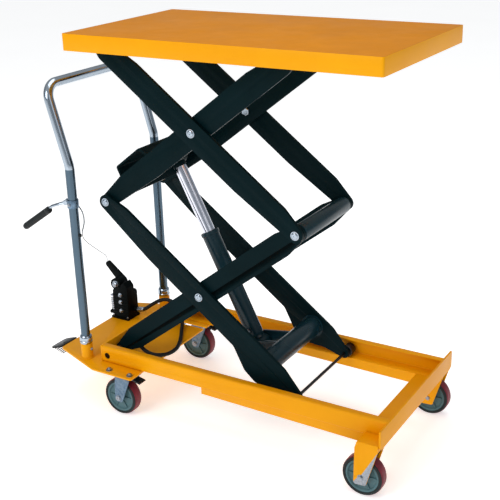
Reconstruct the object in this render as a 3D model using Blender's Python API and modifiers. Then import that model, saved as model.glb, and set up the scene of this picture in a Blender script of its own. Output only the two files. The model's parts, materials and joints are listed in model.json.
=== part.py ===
"""Hand-pushed double scissor lift table: wheeled frame, two stacked scissors, cylinder and foot pump.

Metres, +Z up. +X runs from the push handle to the free end, and the floor is z = 0.
"""

import math

import bmesh
import bpy
from mathutils import Vector

# Scissor
ARM_SPAN = 0.772              # between the pivots at the two ends of an arm
ARM_ANGLE = math.radians(37.26)
ARM_WIDTH = 0.068
ARM_THICKNESS = 0.010
ARM_TIP_RADIUS = 0.0143       # at the frame, table and roller ends
ARM_JOINT_RADIUS = 0.021      # at the ends that join two arms
INNER_ARM_FACE = 0.128        # inner face of an inner arm, from the middle of the table
ARM_GAP = 0.003
PIN_RADIUS = 0.008
PIN_HEAD_RADIUS = 0.0125
TIP_TAPER = 0.150
SHORT_TAPER = 0.065
LONG_TAPER = 0.200
GUSSET_DEPTH = 0.036

# Frame
RAIL_OUTER = 0.202            # outer face of a rail, from the middle of the table
RAIL_BOTTOM = 0.152
RAIL_HEIGHT = 0.051
RAIL_WALL = 0.004
RAIL_TOP_FLANGE = 0.022
RAIL_LOWER_FLANGE = 0.045
RAIL_LENGTH = 0.924
PIVOT_INSET = 0.018           # base pivot to the rail's handle end
BAR_START = 0.330             # stiffening bar under a rail, from the base pivot
BAR_END = 0.836
BAR_HEIGHTS = (0.022, 0.030)
SHEET = 0.005
END_PLATE_HALF_WIDTH = 0.252
SHELF_DEPTH = 0.070
DECK_REAR = 0.191             # rear edge of the deck, behind the base pivot
DECK_FRONT = 0.126            # front edge of the deck, ahead of the base pivot
DECK_HALF_WIDTH = 0.256
DECK_REAR_HALF_WIDTH = 0.190
DECK_CORNER = 0.175           # length of the slanted rear corner

# Rollers and table
ROLLER_RADIUS = 0.017
ROLLER_WIDTH = 0.030
ROLLER_FACE = 0.158
TABLE_LENGTH = 0.910
TABLE_WIDTH = 0.500
TABLE_SKIRT = 0.0444
TABLE_PLATE = 0.004
TABLE_SKIRT_WALL = 0.003
TABLE_CORNER = 0.006

# Running gear
WHEEL_RADIUS = 0.0575
WHEEL_WIDTH = 0.035
TYRE_DEPTH = 0.010
WHEEL_SIDES = 34
AXLE_RADIUS = 0.006
FIXED_WHEEL_X = 0.855         # from the base pivot
FIXED_WHEEL_Y = 0.2319
CASTER_X = 0.0717             # caster swivel axis, from the base pivot
CASTER_Y = 0.203
CASTER_TRAIL = 0.0205

# Handle, pump and controls
POST_X = -0.0785              # from the base pivot
POST_Y = 0.200
TUBE_RADIUS = 0.0138
HANDLE_KNEE_Z = 0.750
HANDLE_TOP_Z = 0.975
HANDLE_LEAN = 0.062
SOCKET_HEIGHT = 0.048
LEVER_Z = 0.640
LEVER_REACH = 0.204           # from the post's axis to the end of the grip
PUMP_X = -0.156               # from the base pivot
PUMP_Y = 0.088
PEDAL_SHAFT_X = -0.146
PEDAL_Y = -0.110
PEDAL_REACH = 0.135

# Cylinder, in the scissor's own directions from the centre pivots
FOOT_ALONG = 0.195
FOOT_BELOW = 0.085
EYE_ALONG = -0.201
BARREL_RADIUS = 0.0255
BARREL_LENGTH = 0.362
ROD_RADIUS = 0.018
ROD_LENGTH = 0.370
CARRIER_TUBE_ALONG = 0.262
CARRIER_TUBE_RADIUS = 0.030
CARRIER_TUBE_DROP = 0.008      # below the middle line of the outer arms
JOINT_TUBE_RADIUS = 0.023
LUG_FACE = 0.033
LUG_THICKNESS = 0.008

# Clearances
GAP = 0.0003                  # between touching pieces
RUNNING = 0.0003              # round a pin or a shaft

# Worked out from the sizes above
HALF = ARM_SPAN / 2
SINE = math.sin(ARM_ANGLE)
COSINE = math.cos(ARM_ANGLE)
RAIL_TOP = RAIL_BOTTOM + RAIL_HEIGHT
PIVOT_Z = RAIL_BOTTOM + RAIL_WALL + ROLLER_RADIUS + GAP
FREE_END = RAIL_LENGTH - PIVOT_INSET
LEVER_END = POST_X - LEVER_REACH
PIVOT_X = -(FIXED_WHEEL_X + WHEEL_RADIUS + LEVER_END) / 2
LOW_Z = PIVOT_Z + HALF * SINE
JOINT_Z = PIVOT_Z + ARM_SPAN * SINE
HIGH_Z = JOINT_Z + HALF * SINE
TABLE_PIVOT_Z = JOINT_Z + ARM_SPAN * SINE
TABLE_PIVOT_DROP = TABLE_PLATE + ROLLER_RADIUS + GAP
TABLE_TOP = TABLE_PIVOT_Z + TABLE_PIVOT_DROP
CENTRE_X = PIVOT_X + HALF * COSINE
FAR_X = PIVOT_X + ARM_SPAN * COSINE
OUTER_ARM_FACE = INNER_ARM_FACE + ARM_THICKNESS + ARM_GAP
ARM_OUTSIDE = OUTER_ARM_FACE + ARM_THICKNESS
WHEEL_Z = WHEEL_RADIUS * math.cos(math.pi / WHEEL_SIDES)
DECK_TOP = RAIL_BOTTOM - GAP
DECK_BOTTOM = DECK_TOP - SHEET
PIN_BORE = PIN_RADIUS + RUNNING
ALONG_Y = Vector((0, 1, 0))
SIDES = (("right", -1), ("left", 1))

FOOT = Vector((
    CENTRE_X + FOOT_ALONG * COSINE - FOOT_BELOW * SINE,
    0,
    LOW_Z - FOOT_ALONG * SINE - FOOT_BELOW * COSINE,
))
EYE = Vector((CENTRE_X + EYE_ALONG * COSINE, 0, HIGH_Z + EYE_ALONG * SINE))
CYLINDER_DIRECTION = (EYE - FOOT).normalized()


# Scene and materials

def clear_scene():
    for thing in list(bpy.data.objects):
        bpy.data.objects.remove(thing, do_unlink=True)


def make_collection(name):
    collection = bpy.data.collections.new(name)
    bpy.context.scene.collection.children.link(collection)
    return collection


def make_paint(name, colour, metallic, roughness):
    paint = bpy.data.materials.new(name)
    paint.use_nodes = True
    shader = paint.node_tree.nodes["Principled BSDF"]
    shader.inputs["Base Color"].default_value = (*colour, 1)
    shader.inputs["Metallic"].default_value = metallic
    shader.inputs["Roughness"].default_value = roughness
    paint.diffuse_color = (*colour, 1)
    return paint


clear_scene()
PARTS = make_collection("scissor_lift_table")
CUTTERS = make_collection("cutters")

YELLOW = make_paint("yellow_paint", (0.87, 0.44, 0.01), 0.0, 0.4)
GREEN_BLACK = make_paint("green_black_paint", (0.008, 0.022, 0.022), 0.0, 0.35)
CHROME = make_paint("chrome", (0.72, 0.74, 0.76), 1.0, 0.12)
ZINC = make_paint("zinc_plate", (0.30, 0.37, 0.45), 0.9, 0.35)
STEEL = make_paint("bare_steel", (0.35, 0.35, 0.35), 1.0, 0.4)
HUB_GREY = make_paint("wheel_centre", (0.16, 0.24, 0.24), 0.0, 0.5)
TYRE_RED = make_paint("tyre", (0.20, 0.025, 0.035), 0.0, 0.5)
BLACK = make_paint("black_enamel", (0.008, 0.008, 0.009), 0.0, 0.35)
RUBBER = make_paint("black_rubber", (0.012, 0.012, 0.012), 0.0, 0.7)


# Outlines

def rounded(corners, turn=math.radians(22.5)):
    """Outline through corners given as (u, v, radius), with each corner as an arc."""
    outline = []
    for index, (u, v, radius) in enumerate(corners):
        here = Vector((u, v))
        before = Vector(corners[index - 1][:2]) - here
        after = Vector(corners[(index + 1) % len(corners)][:2]) - here
        if radius == 0:
            outline.append((u, v))
            continue
        before.normalize()
        after.normalize()
        half_inside = before.angle(after) / 2
        reach = radius / math.tan(half_inside)
        centre = here + (before + after).normalized() * radius / math.sin(half_inside)
        start = here + before * reach - centre
        sweep = start.angle_signed(here + after * reach - centre)
        count = max(1, math.ceil(abs(sweep) / turn))
        for step in range(count + 1):
            angle = -sweep * step / count
            turned_by = Vector((
                start.x * math.cos(angle) - start.y * math.sin(angle),
                start.x * math.sin(angle) + start.y * math.cos(angle),
            ))
            outline.append(tuple(centre + turned_by))
    return outline


def circle(u, v, radius, count=16):
    points = []
    for index in range(count):
        angle = 2 * math.pi * (index + 0.5) / count
        points.append((u + radius * math.cos(angle), v + radius * math.sin(angle)))
    return points


def rounded_path(corners, turn=math.radians(15)):
    """Path through corners given as (x, y, z, radius), with each inner corner as an arc."""
    points = [Vector(corners[0][:3])]
    for before, corner, after in zip(corners, corners[1:], corners[2:]):
        here = Vector(corner[:3])
        back = (Vector(before[:3]) - here).normalized()
        ahead = (Vector(after[:3]) - here).normalized()
        half_inside = back.angle(ahead) / 2
        radius = corner[3]
        centre = here + (back + ahead).normalized() * radius / math.sin(half_inside)
        start = here + back * radius / math.tan(half_inside) - centre
        end = here + ahead * radius / math.tan(half_inside) - centre
        start.normalize()
        end.normalize()
        count = max(1, math.ceil(start.angle(end) / turn))
        for step in range(count + 1):
            points.append(centre + radius * start.slerp(end, step / count).normalized())
    points.append(Vector(corners[-1][:3]))
    return points


def smooth_path(stations, spacing):
    """Points at an even spacing along a smooth curve through the stations."""
    knots = [Vector(station) for station in stations]
    ends = [2 * knots[0] - knots[1], *knots, 2 * knots[-1] - knots[-2]]
    fine = []
    for a, b, c, d in zip(ends, ends[1:], ends[2:], ends[3:]):
        for step in range(12):
            t = step / 12
            fine.append(
                0.5 * (2 * b + (c - a) * t + (2 * a - 5 * b + 4 * c - d) * t ** 2
                       + (3 * b - a - 3 * c + d) * t ** 3)
            )
    fine.append(knots[-1])
    total = sum((q - p).length for p, q in zip(fine, fine[1:]))
    count = max(2, round(total / spacing))
    points = [fine[0]]
    travelled = 0.0
    for p, q in zip(fine, fine[1:]):
        step = (q - p).length
        while len(points) < count and travelled + step >= total * len(points) / count:
            share = (total * len(points) / count - travelled) / step
            points.append(p.lerp(q, share))
        travelled += step
    points.append(fine[-1])
    return points


# Solids

def tidy_mesh(mesh):
    work = bmesh.new()
    work.from_mesh(mesh)
    bmesh.ops.remove_doubles(work, verts=work.verts, dist=1e-6)
    bmesh.ops.recalc_face_normals(work, faces=work.faces)
    work.to_mesh(mesh)
    work.free()


def baked(maker):
    """Mesh of a curve or of an object with modifiers, as a plain mesh object in its place."""
    bpy.context.view_layer.update()
    graph = bpy.context.evaluated_depsgraph_get()
    mesh = bpy.data.meshes.new_from_object(maker.evaluated_get(graph))
    mesh.transform(maker.matrix_world)
    tidy_mesh(mesh)
    bpy.data.objects.remove(maker, do_unlink=True)
    solid = bpy.data.objects.new("solid", mesh)
    PARTS.objects.link(solid)
    return solid


def box(low, high):
    mesh = bpy.data.meshes.new("box")
    work = bmesh.new()
    bmesh.ops.create_cube(work, size=1)
    size = Vector(high) - Vector(low)
    bmesh.ops.scale(work, vec=size, verts=work.verts)
    bmesh.ops.translate(work, vec=(Vector(low) + Vector(high)) / 2, verts=work.verts)
    work.to_mesh(mesh)
    work.free()
    solid = bpy.data.objects.new("solid", mesh)
    PARTS.objects.link(solid)
    return solid


def rod_between(start, end, radius, sides=20):
    start = Vector(start)
    along = Vector(end) - start
    mesh = bpy.data.meshes.new("rod")
    work = bmesh.new()
    bmesh.ops.create_cone(
        work, cap_ends=True, segments=sides, radius1=radius, radius2=radius, depth=along.length
    )
    turn = Vector((0, 0, 1)).rotation_difference(along).to_matrix()
    bmesh.ops.rotate(work, cent=(0, 0, 0), matrix=turn, verts=work.verts)
    bmesh.ops.translate(work, vec=start + along / 2, verts=work.verts)
    work.to_mesh(mesh)
    work.free()
    solid = bpy.data.objects.new("solid", mesh)
    PARTS.objects.link(solid)
    return solid


def plate(outline, holes, low, high, normal="Y"):
    """Flat outline with holes, made thick from low to high along its normal."""
    curve = bpy.data.curves.new("plate", "CURVE")
    curve.dimensions = "2D"
    curve.fill_mode = "BOTH"
    curve.extrude = (high - low) / 2
    for loop in [outline, *holes]:
        spline = curve.splines.new("POLY")
        spline.points.add(len(loop) - 1)
        for point, (u, v) in zip(spline.points, loop):
            point.co = (u, v, 0, 1)
        spline.use_cyclic_u = True
    maker = bpy.data.objects.new("plate", curve)
    PARTS.objects.link(maker)
    middle = (low + high) / 2
    if normal == "Y":
        maker.rotation_euler = (math.radians(90), 0, 0)
        maker.location = (0, middle, 0)
    elif normal == "X":
        maker.rotation_euler = (math.radians(90), 0, math.radians(90))
        maker.location = (middle, 0, 0)
    else:
        maker.location = (0, 0, middle)
    return baked(maker)


def turned(profile, base, direction, steps=24, ring=False):
    """Solid of revolution from (radius, height) points listed from the top down."""
    mesh = bpy.data.meshes.new("profile")
    work = bmesh.new()
    verts = [work.verts.new((radius, 0, height)) for radius, height in profile]
    for first, second in zip(verts, verts[1:]):
        work.edges.new((first, second))
    if ring:
        work.edges.new((verts[-1], verts[0]))
    work.to_mesh(mesh)
    work.free()
    maker = bpy.data.objects.new("turned", mesh)
    PARTS.objects.link(maker)
    screw = maker.modifiers.new("Screw", "SCREW")
    screw.axis = "Z"
    screw.steps = steps
    screw.render_steps = steps
    screw.use_merge_vertices = True
    screw.merge_threshold = 0.00001
    maker.rotation_mode = "QUATERNION"
    maker.rotation_quaternion = Vector((0, 0, 1)).rotation_difference(Vector(direction))
    maker.location = base
    return baked(maker)


def tube(points, radius, resolution=2):
    """Round bar or hose along a list of points, closed at both ends."""
    curve = bpy.data.curves.new("tube", "CURVE")
    curve.dimensions = "3D"
    curve.bevel_depth = radius
    curve.bevel_resolution = resolution
    curve.use_fill_caps = True
    spline = curve.splines.new("POLY")
    spline.points.add(len(points) - 1)
    for point, place in zip(spline.points, points):
        point.co = (*place, 1)
    maker = bpy.data.objects.new("tube", curve)
    PARTS.objects.link(maker)
    return baked(maker)


def combine(solid, tools, operation):
    for tool in tools:
        PARTS.objects.unlink(tool)
        CUTTERS.objects.link(tool)
        tool.name = operation.lower() + "_tool"
        tool.hide_render = True
        tool.display_type = "WIRE"
        step = solid.modifiers.new(operation.title(), "BOOLEAN")
        step.operation = operation
        step.object = tool
    return solid


def join(solid, *tools):
    return combine(solid, tools, "UNION")


def cut(solid, *tools):
    return combine(solid, tools, "DIFFERENCE")


def soften(solid, width, segments=1):
    bevel = solid.modifiers.new("Bevel", "BEVEL")
    bevel.width = width
    bevel.segments = segments
    bevel.limit_method = "ANGLE"
    bevel.angle_limit = math.radians(40)
    return solid


def carrier(name, place, angle=0.0):
    """Empty on a joint's axis, which the pieces of one moving body hang from."""
    empty = bpy.data.objects.new(name, None)
    empty.location = place
    empty.rotation_euler = (0, -angle, 0)
    PARTS.objects.link(empty)
    bpy.context.view_layer.update()
    return empty


def finish(name, solid, paint, parent=None, local=False):
    """Name and paint a piece. A piece built in world places is moved into its parent's."""
    solid.name = name
    solid.data.name = name
    solid.data.materials.clear()
    solid.data.materials.append(paint)
    solid.data.shade_smooth()
    solid.data.set_sharp_from_angle(angle=math.radians(35))
    if parent:
        tools = [step.object for step in solid.modifiers if step.type == "BOOLEAN"]
        for thing in [solid, *tools]:
            thing.parent = parent
            if not local:
                thing.data.transform(parent.matrix_world.inverted())
    return solid


# Frame

def rail(side, sign):
    outer = RAIL_OUTER
    web = outer - RAIL_WALL
    top_edge = outer - RAIL_TOP_FLANGE
    low_edge = outer - RAIL_LOWER_FLANGE
    section = rounded([
        (sign * outer, RAIL_BOTTOM, 0.006),
        (sign * outer, RAIL_TOP, 0.006),
        (sign * top_edge, RAIL_TOP, 0),
        (sign * top_edge, RAIL_TOP - RAIL_WALL, 0),
        (sign * web, RAIL_TOP - RAIL_WALL, 0.002),
        (sign * web, RAIL_BOTTOM + RAIL_WALL, 0.002),
        (sign * low_edge, RAIL_BOTTOM + RAIL_WALL, 0),
        (sign * low_edge, RAIL_BOTTOM, 0),
    ])
    start = PIVOT_X - PIVOT_INSET
    channel = plate(section, [], start, start + RAIL_LENGTH - SHEET - GAP, "X")
    bite = RAIL_WALL / 4
    bar_outline = [
        (PIVOT_X + BAR_START, RAIL_BOTTOM + bite),
        (PIVOT_X + BAR_START, RAIL_BOTTOM - BAR_HEIGHTS[0]),
        (PIVOT_X + BAR_END, RAIL_BOTTOM - BAR_HEIGHTS[1]),
        (PIVOT_X + BAR_END, RAIL_BOTTOM + bite),
    ]
    edges = sorted((sign * (low_edge + bite), sign * (outer - 0.007)))
    bar = plate(bar_outline, [], *edges)
    hole = rod_between(
        (PIVOT_X, sign * (web - 0.01), PIVOT_Z),
        (PIVOT_X, sign * (outer + 0.01), PIVOT_Z),
        BASE_SHAFT_RADIUS + RUNNING,
    )
    finish("rail_" + side, cut(join(channel, bar), hole), YELLOW)


BASE_SHAFT_RADIUS = 0.0095


def base_shaft():
    reach = RAIL_OUTER - RAIL_WALL / 2
    shaft = rod_between((PIVOT_X, -reach, PIVOT_Z), (PIVOT_X, reach, PIVOT_Z), BASE_SHAFT_RADIUS)
    finish("base_pivot_shaft", shaft, STEEL)


def end_member():
    """Upright end plate and the flat shelf behind it."""
    outside = PIVOT_X + FREE_END
    inside = outside - SHEET
    half = END_PLATE_HALF_WIDTH
    low = RAIL_BOTTOM - 0.004
    upright = plate(
        rounded([
            (-half, RAIL_TOP, 0.004),
            (half, RAIL_TOP, 0.004),
            (half, low + 0.006, 0.004),
            (half - 0.012, low, 0.004),
            (-half + 0.012, low, 0.004),
            (-half, low + 0.006, 0.004),
        ]),
        [], inside, outside, "X",
    )
    shelf_half = RAIL_OUTER - RAIL_LOWER_FLANGE - GAP
    shelf = box(
        (outside - SHELF_DEPTH, -shelf_half, RAIL_BOTTOM),
        (inside + SHEET / 2, shelf_half, RAIL_BOTTOM + SHEET),
    )
    finish("end_member", join(upright, shelf), YELLOW)


def cross_plate():
    """Upright plate that stands on the deck and closes the handle end of both rails."""
    back = PIVOT_X - PIVOT_INSET - GAP
    upright = box(
        (back - SHEET, -RAIL_OUTER, DECK_TOP + GAP),
        (back, RAIL_OUTER, RAIL_TOP),
    )
    finish("cross_plate", upright, YELLOW)


def deck():
    """Deck with handle sockets, caster seats and the hangers for the pedal's shaft."""
    rear = PIVOT_X - DECK_REAR
    front = PIVOT_X + DECK_FRONT
    corner = rear + DECK_CORNER
    slot_low = INNER_ARM_FACE - ARM_GAP
    slot_high = INNER_ARM_FACE + ARM_THICKNESS + ARM_GAP
    slot_back = PIVOT_X - ARM_TIP_RADIUS - ARM_GAP
    half = [
        (front, slot_low, 0),
        (slot_back, slot_low, 0),
        (slot_back, slot_high, 0),
        (front, slot_high, 0),
        (front, DECK_HALF_WIDTH, 0.006),
        (corner, DECK_HALF_WIDTH, 0.03),
        (rear, DECK_REAR_HALF_WIDTH, 0.012),
    ]
    outline = half + [(x, -y, radius) for x, y, radius in reversed(half)]
    sheet = plate(rounded(outline), [], DECK_BOTTOM, DECK_TOP, "Z")
    bite = SHEET / 4
    pieces = []
    bores = []
    for side, sign in SIDES:
        post = (PIVOT_X + POST_X, sign * POST_Y)
        pieces.append(rod_between(
            (*post, DECK_TOP - bite), (*post, DECK_TOP + SOCKET_HEIGHT), TUBE_RADIUS + 0.004
        ))
        bores.append(rod_between(
            (*post, DECK_TOP + 0.004), (*post, DECK_TOP + SOCKET_HEIGHT + 0.01),
            TUBE_RADIUS + RUNNING,
        ))
        seat = (PIVOT_X + CASTER_X, sign * CASTER_Y)
        pieces.append(rod_between(
            (*seat, DECK_BOTTOM + bite), (*seat, DECK_BOTTOM - CASTER_SEAT_HEIGHT), 0.031
        ))
        hanger = PEDAL_HANGER_Y * sign
        pieces.append(plate(
            rounded([
                (PIVOT_X + PEDAL_SHAFT_X - 0.014, DECK_BOTTOM + bite, 0),
                (PIVOT_X + PEDAL_SHAFT_X - 0.014, PEDAL_SHAFT_Z - 0.014, 0.010),
                (PIVOT_X + PEDAL_SHAFT_X + 0.014, PEDAL_SHAFT_Z - 0.014, 0.010),
                (PIVOT_X + PEDAL_SHAFT_X + 0.014, DECK_BOTTOM + bite, 0),
            ]),
            [], hanger - 0.003, hanger + 0.003,
        ))
    bores.append(rod_between(
        (PIVOT_X + PEDAL_SHAFT_X, -0.15, PEDAL_SHAFT_Z),
        (PIVOT_X + PEDAL_SHAFT_X, 0.15, PEDAL_SHAFT_Z),
        PEDAL_SHAFT_RADIUS + RUNNING, 16,
    ))
    finish("deck_plate", cut(join(sheet, *pieces), *bores), YELLOW)


CASTER_SEAT_HEIGHT = 0.012
PEDAL_HANGER_Y = 0.062
PEDAL_SHAFT_RADIUS = 0.007
PEDAL_SHAFT_Z = DECK_BOTTOM - 0.020


# Running gear

def wheel_profiles():
    half = WHEEL_WIDTH / 2
    rim = WHEEL_RADIUS - TYRE_DEPTH
    tyre = [
        (rim, half - 0.002), (WHEEL_RADIUS - 0.004, half), (WHEEL_RADIUS, half - 0.005),
        (WHEEL_RADIUS, 0.005 - half), (WHEEL_RADIUS - 0.004, -half), (rim, 0.002 - half),
    ]
    seat = rim - GAP
    bore = AXLE_RADIUS + RUNNING
    hub = [
        (bore, half - 0.001), (0.014, half - 0.001), (0.016, half - 0.007),
        (seat - 0.009, half - 0.007), (seat - 0.005, half - 0.002), (seat, half - 0.003),
        (seat, 0.003 - half), (seat - 0.005, 0.002 - half), (seat - 0.009, 0.007 - half),
        (0.016, 0.007 - half), (0.014, 0.001 - half), (bore, 0.001 - half),
    ]
    return hub, tyre


def wheel(prefix, side, x, y, parent):
    hub_profile, tyre_profile = wheel_profiles()
    place = (x, y, WHEEL_Z)
    hub = turned(hub_profile, place, ALONG_Y, WHEEL_SIDES, ring=True)
    finish(prefix + "_hub_" + side, hub, HUB_GREY, parent)
    tyre = turned(tyre_profile, place, ALONG_Y, WHEEL_SIDES, ring=True)
    finish(prefix + "_tyre_" + side, tyre, TYRE_RED, parent)


def fixed_wheel(side, sign):
    """Folded fork, bolted under the rail's free end, with its axle and wheel."""
    x = PIVOT_X + FIXED_WHEEL_X
    outer = FIXED_WHEEL_Y + WHEEL_WIDTH / 2 + 0.003
    inner = FIXED_WHEEL_Y - WHEEL_WIDTH / 2 - 0.003
    thick = 0.0045
    block_top = RAIL_BOTTOM + 0.011
    block_low = RAIL_BOTTOM - 0.009
    start = x - 0.018
    end = PIVOT_X + FREE_END - SHEET - GAP
    block = plate(
        rounded([
            (start, block_low, 0), (start + 0.006, block_top, 0.004),
            (end, block_top, 0), (end, block_low, 0),
        ]),
        [], *sorted((sign * (RAIL_OUTER + GAP), sign * (outer + thick))),
    )
    cheeks = []
    for low, high in ((outer, outer + thick), (inner - thick, inner)):
        cheeks.append(plate(
            rounded([
                (start, block_low + 0.002, 0), (end, block_low + 0.002, 0),
                (x + 0.014, WHEEL_Z - 0.020, 0.006), (x - 0.020, WHEEL_Z - 0.022, 0.006),
            ]),
            [], *sorted((sign * low, sign * high)),
        ))
    axle = rod_between(
        (x, sign * (inner - thick - 0.004), WHEEL_Z), (x, sign * (outer + thick + 0.004), WHEEL_Z),
        AXLE_RADIUS, 16,
    )
    finish("fork_" + side, join(block, *cheeks, axle), YELLOW)
    hub_axis = carrier("fixed_wheel_axis_" + side, (x, sign * FIXED_WHEEL_Y, WHEEL_Z))
    wheel("fixed", side, x, sign * FIXED_WHEEL_Y, hub_axis)


def caster(side, sign):
    """Swivel fork with its axle, the wheel and a foot brake."""
    x = PIVOT_X + CASTER_X
    y = sign * CASTER_Y
    wheel_x = x - CASTER_TRAIL
    crown_top = DECK_BOTTOM - CASTER_SEAT_HEIGHT - GAP
    crown_low = crown_top - 0.005
    swivel = carrier("caster_swivel_" + side, (x, y, crown_top))
    crown = plate(
        rounded([
            (x - 0.030, y - 0.0265, 0.012), (x + 0.036, y - 0.0265, 0.006),
            (x + 0.036, y + 0.0265, 0.006), (x - 0.030, y + 0.0265, 0.012),
        ]),
        [], crown_low, crown_top, "Z",
    )
    legs = []
    for leg in (-1, 1):
        inside = WHEEL_WIDTH / 2 + 0.004
        legs.append(plate(
            rounded([
                (x - 0.026, crown_low + 0.001, 0), (x + 0.026, crown_low + 0.001, 0),
                (x + 0.018, crown_low - 0.022, 0.02),
                (wheel_x + 0.013, WHEEL_Z - 0.013, 0.0125), (wheel_x - 0.013, WHEEL_Z - 0.013, 0.0125),
                (x - 0.030, crown_low - 0.022, 0.02),
            ]),
            [], *sorted((y + leg * inside, y + leg * (inside + 0.003))),
        ))
    reach = WHEEL_WIDTH / 2 + 0.011
    axle = rod_between((wheel_x, y - reach, WHEEL_Z), (wheel_x, y + reach, WHEEL_Z), AXLE_RADIUS, 16)
    finish("caster_fork_" + side, join(crown, *legs, axle), ZINC, swivel)
    axis = carrier("caster_wheel_axis_" + side, (wheel_x, y, WHEEL_Z))
    wheel("caster", side, wheel_x, y, axis)
    hinge_x = x + BRAKE_HINGE_X
    hinge_z = crown_low - GAP - 0.004
    hinge = carrier("caster_brake_axis_" + side, (hinge_x, y, hinge_z))
    pedal = plate(
        rounded([
            (hinge_x - 0.006, hinge_z + 0.002, 0.001), (hinge_x - 0.006, hinge_z - 0.004, 0.001),
            (hinge_x + 0.006, hinge_z - 0.004, 0.003), (hinge_x + 0.030, hinge_z - 0.010, 0.002),
            (hinge_x + 0.036, hinge_z - 0.005, 0.002), (hinge_x + 0.006, hinge_z + 0.002, 0.003),
        ]),
        [], y - 0.014, y + 0.014,
    )
    finish("caster_brake_" + side, pedal, BLACK, hinge)


BRAKE_HINGE_X = 0.024


# Scissor

def arm_outline(left, right, shift, lower_extra=()):
    """Outline along an arm. left and right are (end radius, upper taper, lower taper)."""
    wide = ARM_WIDTH / 2
    soft = 0.02

    def corner(radius, taper):
        slope = math.atan2(wide - radius, taper)
        return 1.02 * radius * math.tan(math.radians(45) - slope / 2)

    left_radius, left_upper, left_lower = left
    right_radius, right_upper, right_lower = right
    corners = [
        (-HALF - left_radius, corner(left_radius, left_upper), left_radius),
        (-HALF - left_radius, -corner(left_radius, left_lower), left_radius),
        (-HALF + left_lower, -wide, soft),
        *lower_extra,
        (HALF - right_lower, -wide, soft),
        (HALF + right_radius, -corner(right_radius, right_lower), right_radius),
        (HALF + right_radius, corner(right_radius, right_upper), right_radius),
        (HALF - right_upper, wide, soft),
        (-HALF + left_upper, wide, soft),
    ]
    return rounded([(along + shift, across, radius) for along, across, radius in corners])


def arms(name, outline, holes, face, parent):
    for side, sign in SIDES:
        loops = [circle(along, 0, radius) for along, radius in holes]
        low, high = sorted((sign * face, sign * (face + ARM_THICKNESS)))
        piece = plate(outline, loops, low, high)
        finish(name + "_" + side, piece, GREEN_BLACK, parent, local=True)


def pivot_pin(name, x, z, parent):
    """Stub pin through an inner and an outer arm, with a washer head and an inner nut."""
    inner = INNER_ARM_FACE - GAP
    outer = ARM_OUTSIDE + GAP
    profile = [
        (0, outer + 0.0052), (0.0075, outer + 0.0052), (0.0085, outer + 0.0040),
        (0.0085, outer + 0.0022), (PIN_HEAD_RADIUS, outer + 0.0022), (PIN_HEAD_RADIUS, outer),
        (PIN_RADIUS, outer), (PIN_RADIUS, inner), (PIN_HEAD_RADIUS, inner),
        (PIN_HEAD_RADIUS, inner - 0.006), (0, inner - 0.006),
    ]
    for side, sign in SIDES:
        pin = turned(profile, (x, 0, z), ALONG_Y * sign, 16)
        finish(name + "_" + side, pin, CHROME, parent)


def roller_pair(name, x, z):
    for side, sign in SIDES:
        low = ROLLER_FACE
        high = ROLLER_FACE + ROLLER_WIDTH
        bore = TRACK_AXLE_RADIUS + RUNNING
        profile = [
            (bore, high), (ROLLER_RADIUS - 0.0015, high), (ROLLER_RADIUS, high - 0.0015),
            (ROLLER_RADIUS, low + 0.0015), (ROLLER_RADIUS - 0.0015, low), (bore, low),
        ]
        axis = carrier(name + "_axis_" + side, (x, sign * (low + high) / 2, z))
        roller = turned(profile, (x, 0, z), ALONG_Y * sign, 24, ring=True)
        finish(name + "_" + side, roller, STEEL, axis)


TRACK_AXLE_RADIUS = 0.0045


def track_axle(name, x, z, parent):
    reach = ROLLER_FACE + ROLLER_WIDTH + 0.003
    axle = rod_between((x, -reach, z), (x, reach, z), TRACK_AXLE_RADIUS, 16)
    finish(name, axle, STEEL, parent)


def inner_lower_pair():
    body = carrier("inner_lower_axis", (PIVOT_X, 0, PIVOT_Z), ARM_ANGLE)
    outline = arm_outline(
        (ARM_TIP_RADIUS, TIP_TAPER / 2, TIP_TAPER / 2),
        (ARM_JOINT_RADIUS, SHORT_TAPER, SHORT_TAPER), HALF,
    )
    holes = [(0, BASE_SHAFT_RADIUS + RUNNING), (HALF, PIN_BORE), (ARM_SPAN, PIN_BORE)]
    arms("inner_lower_arm", outline, holes, INNER_ARM_FACE, body)
    reach = INNER_ARM_FACE - GAP
    sleeve = [
        (PIN_BORE, reach), (JOINT_TUBE_RADIUS, reach),
        (JOINT_TUBE_RADIUS, -reach), (PIN_BORE, -reach),
    ]
    tube_part = turned(sleeve, (FAR_X, 0, JOINT_Z), ALONG_Y, 24, ring=True)
    finish("joint_tube", tube_part, GREEN_BLACK, body)
    outer = ARM_OUTSIDE + GAP
    half_profile = [
        (0, outer + 0.0052), (0.0075, outer + 0.0052), (0.0085, outer + 0.0040),
        (0.0085, outer + 0.0022), (PIN_HEAD_RADIUS, outer + 0.0022), (PIN_HEAD_RADIUS, outer),
        (PIN_RADIUS, outer),
    ]
    profile = half_profile + [(radius, -height) for radius, height in reversed(half_profile)]
    shaft = turned(profile, (FAR_X, 0, JOINT_Z), ALONG_Y, 16)
    finish("joint_shaft", shaft, CHROME, body)


def scissor_point(along, across, centre_z, rising):
    """World x and z of a place given along and across an arm."""
    lift = SINE if rising else -SINE
    return (
        CENTRE_X + along * COSINE - across * lift,
        centre_z + along * lift + across * COSINE,
    )


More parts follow.
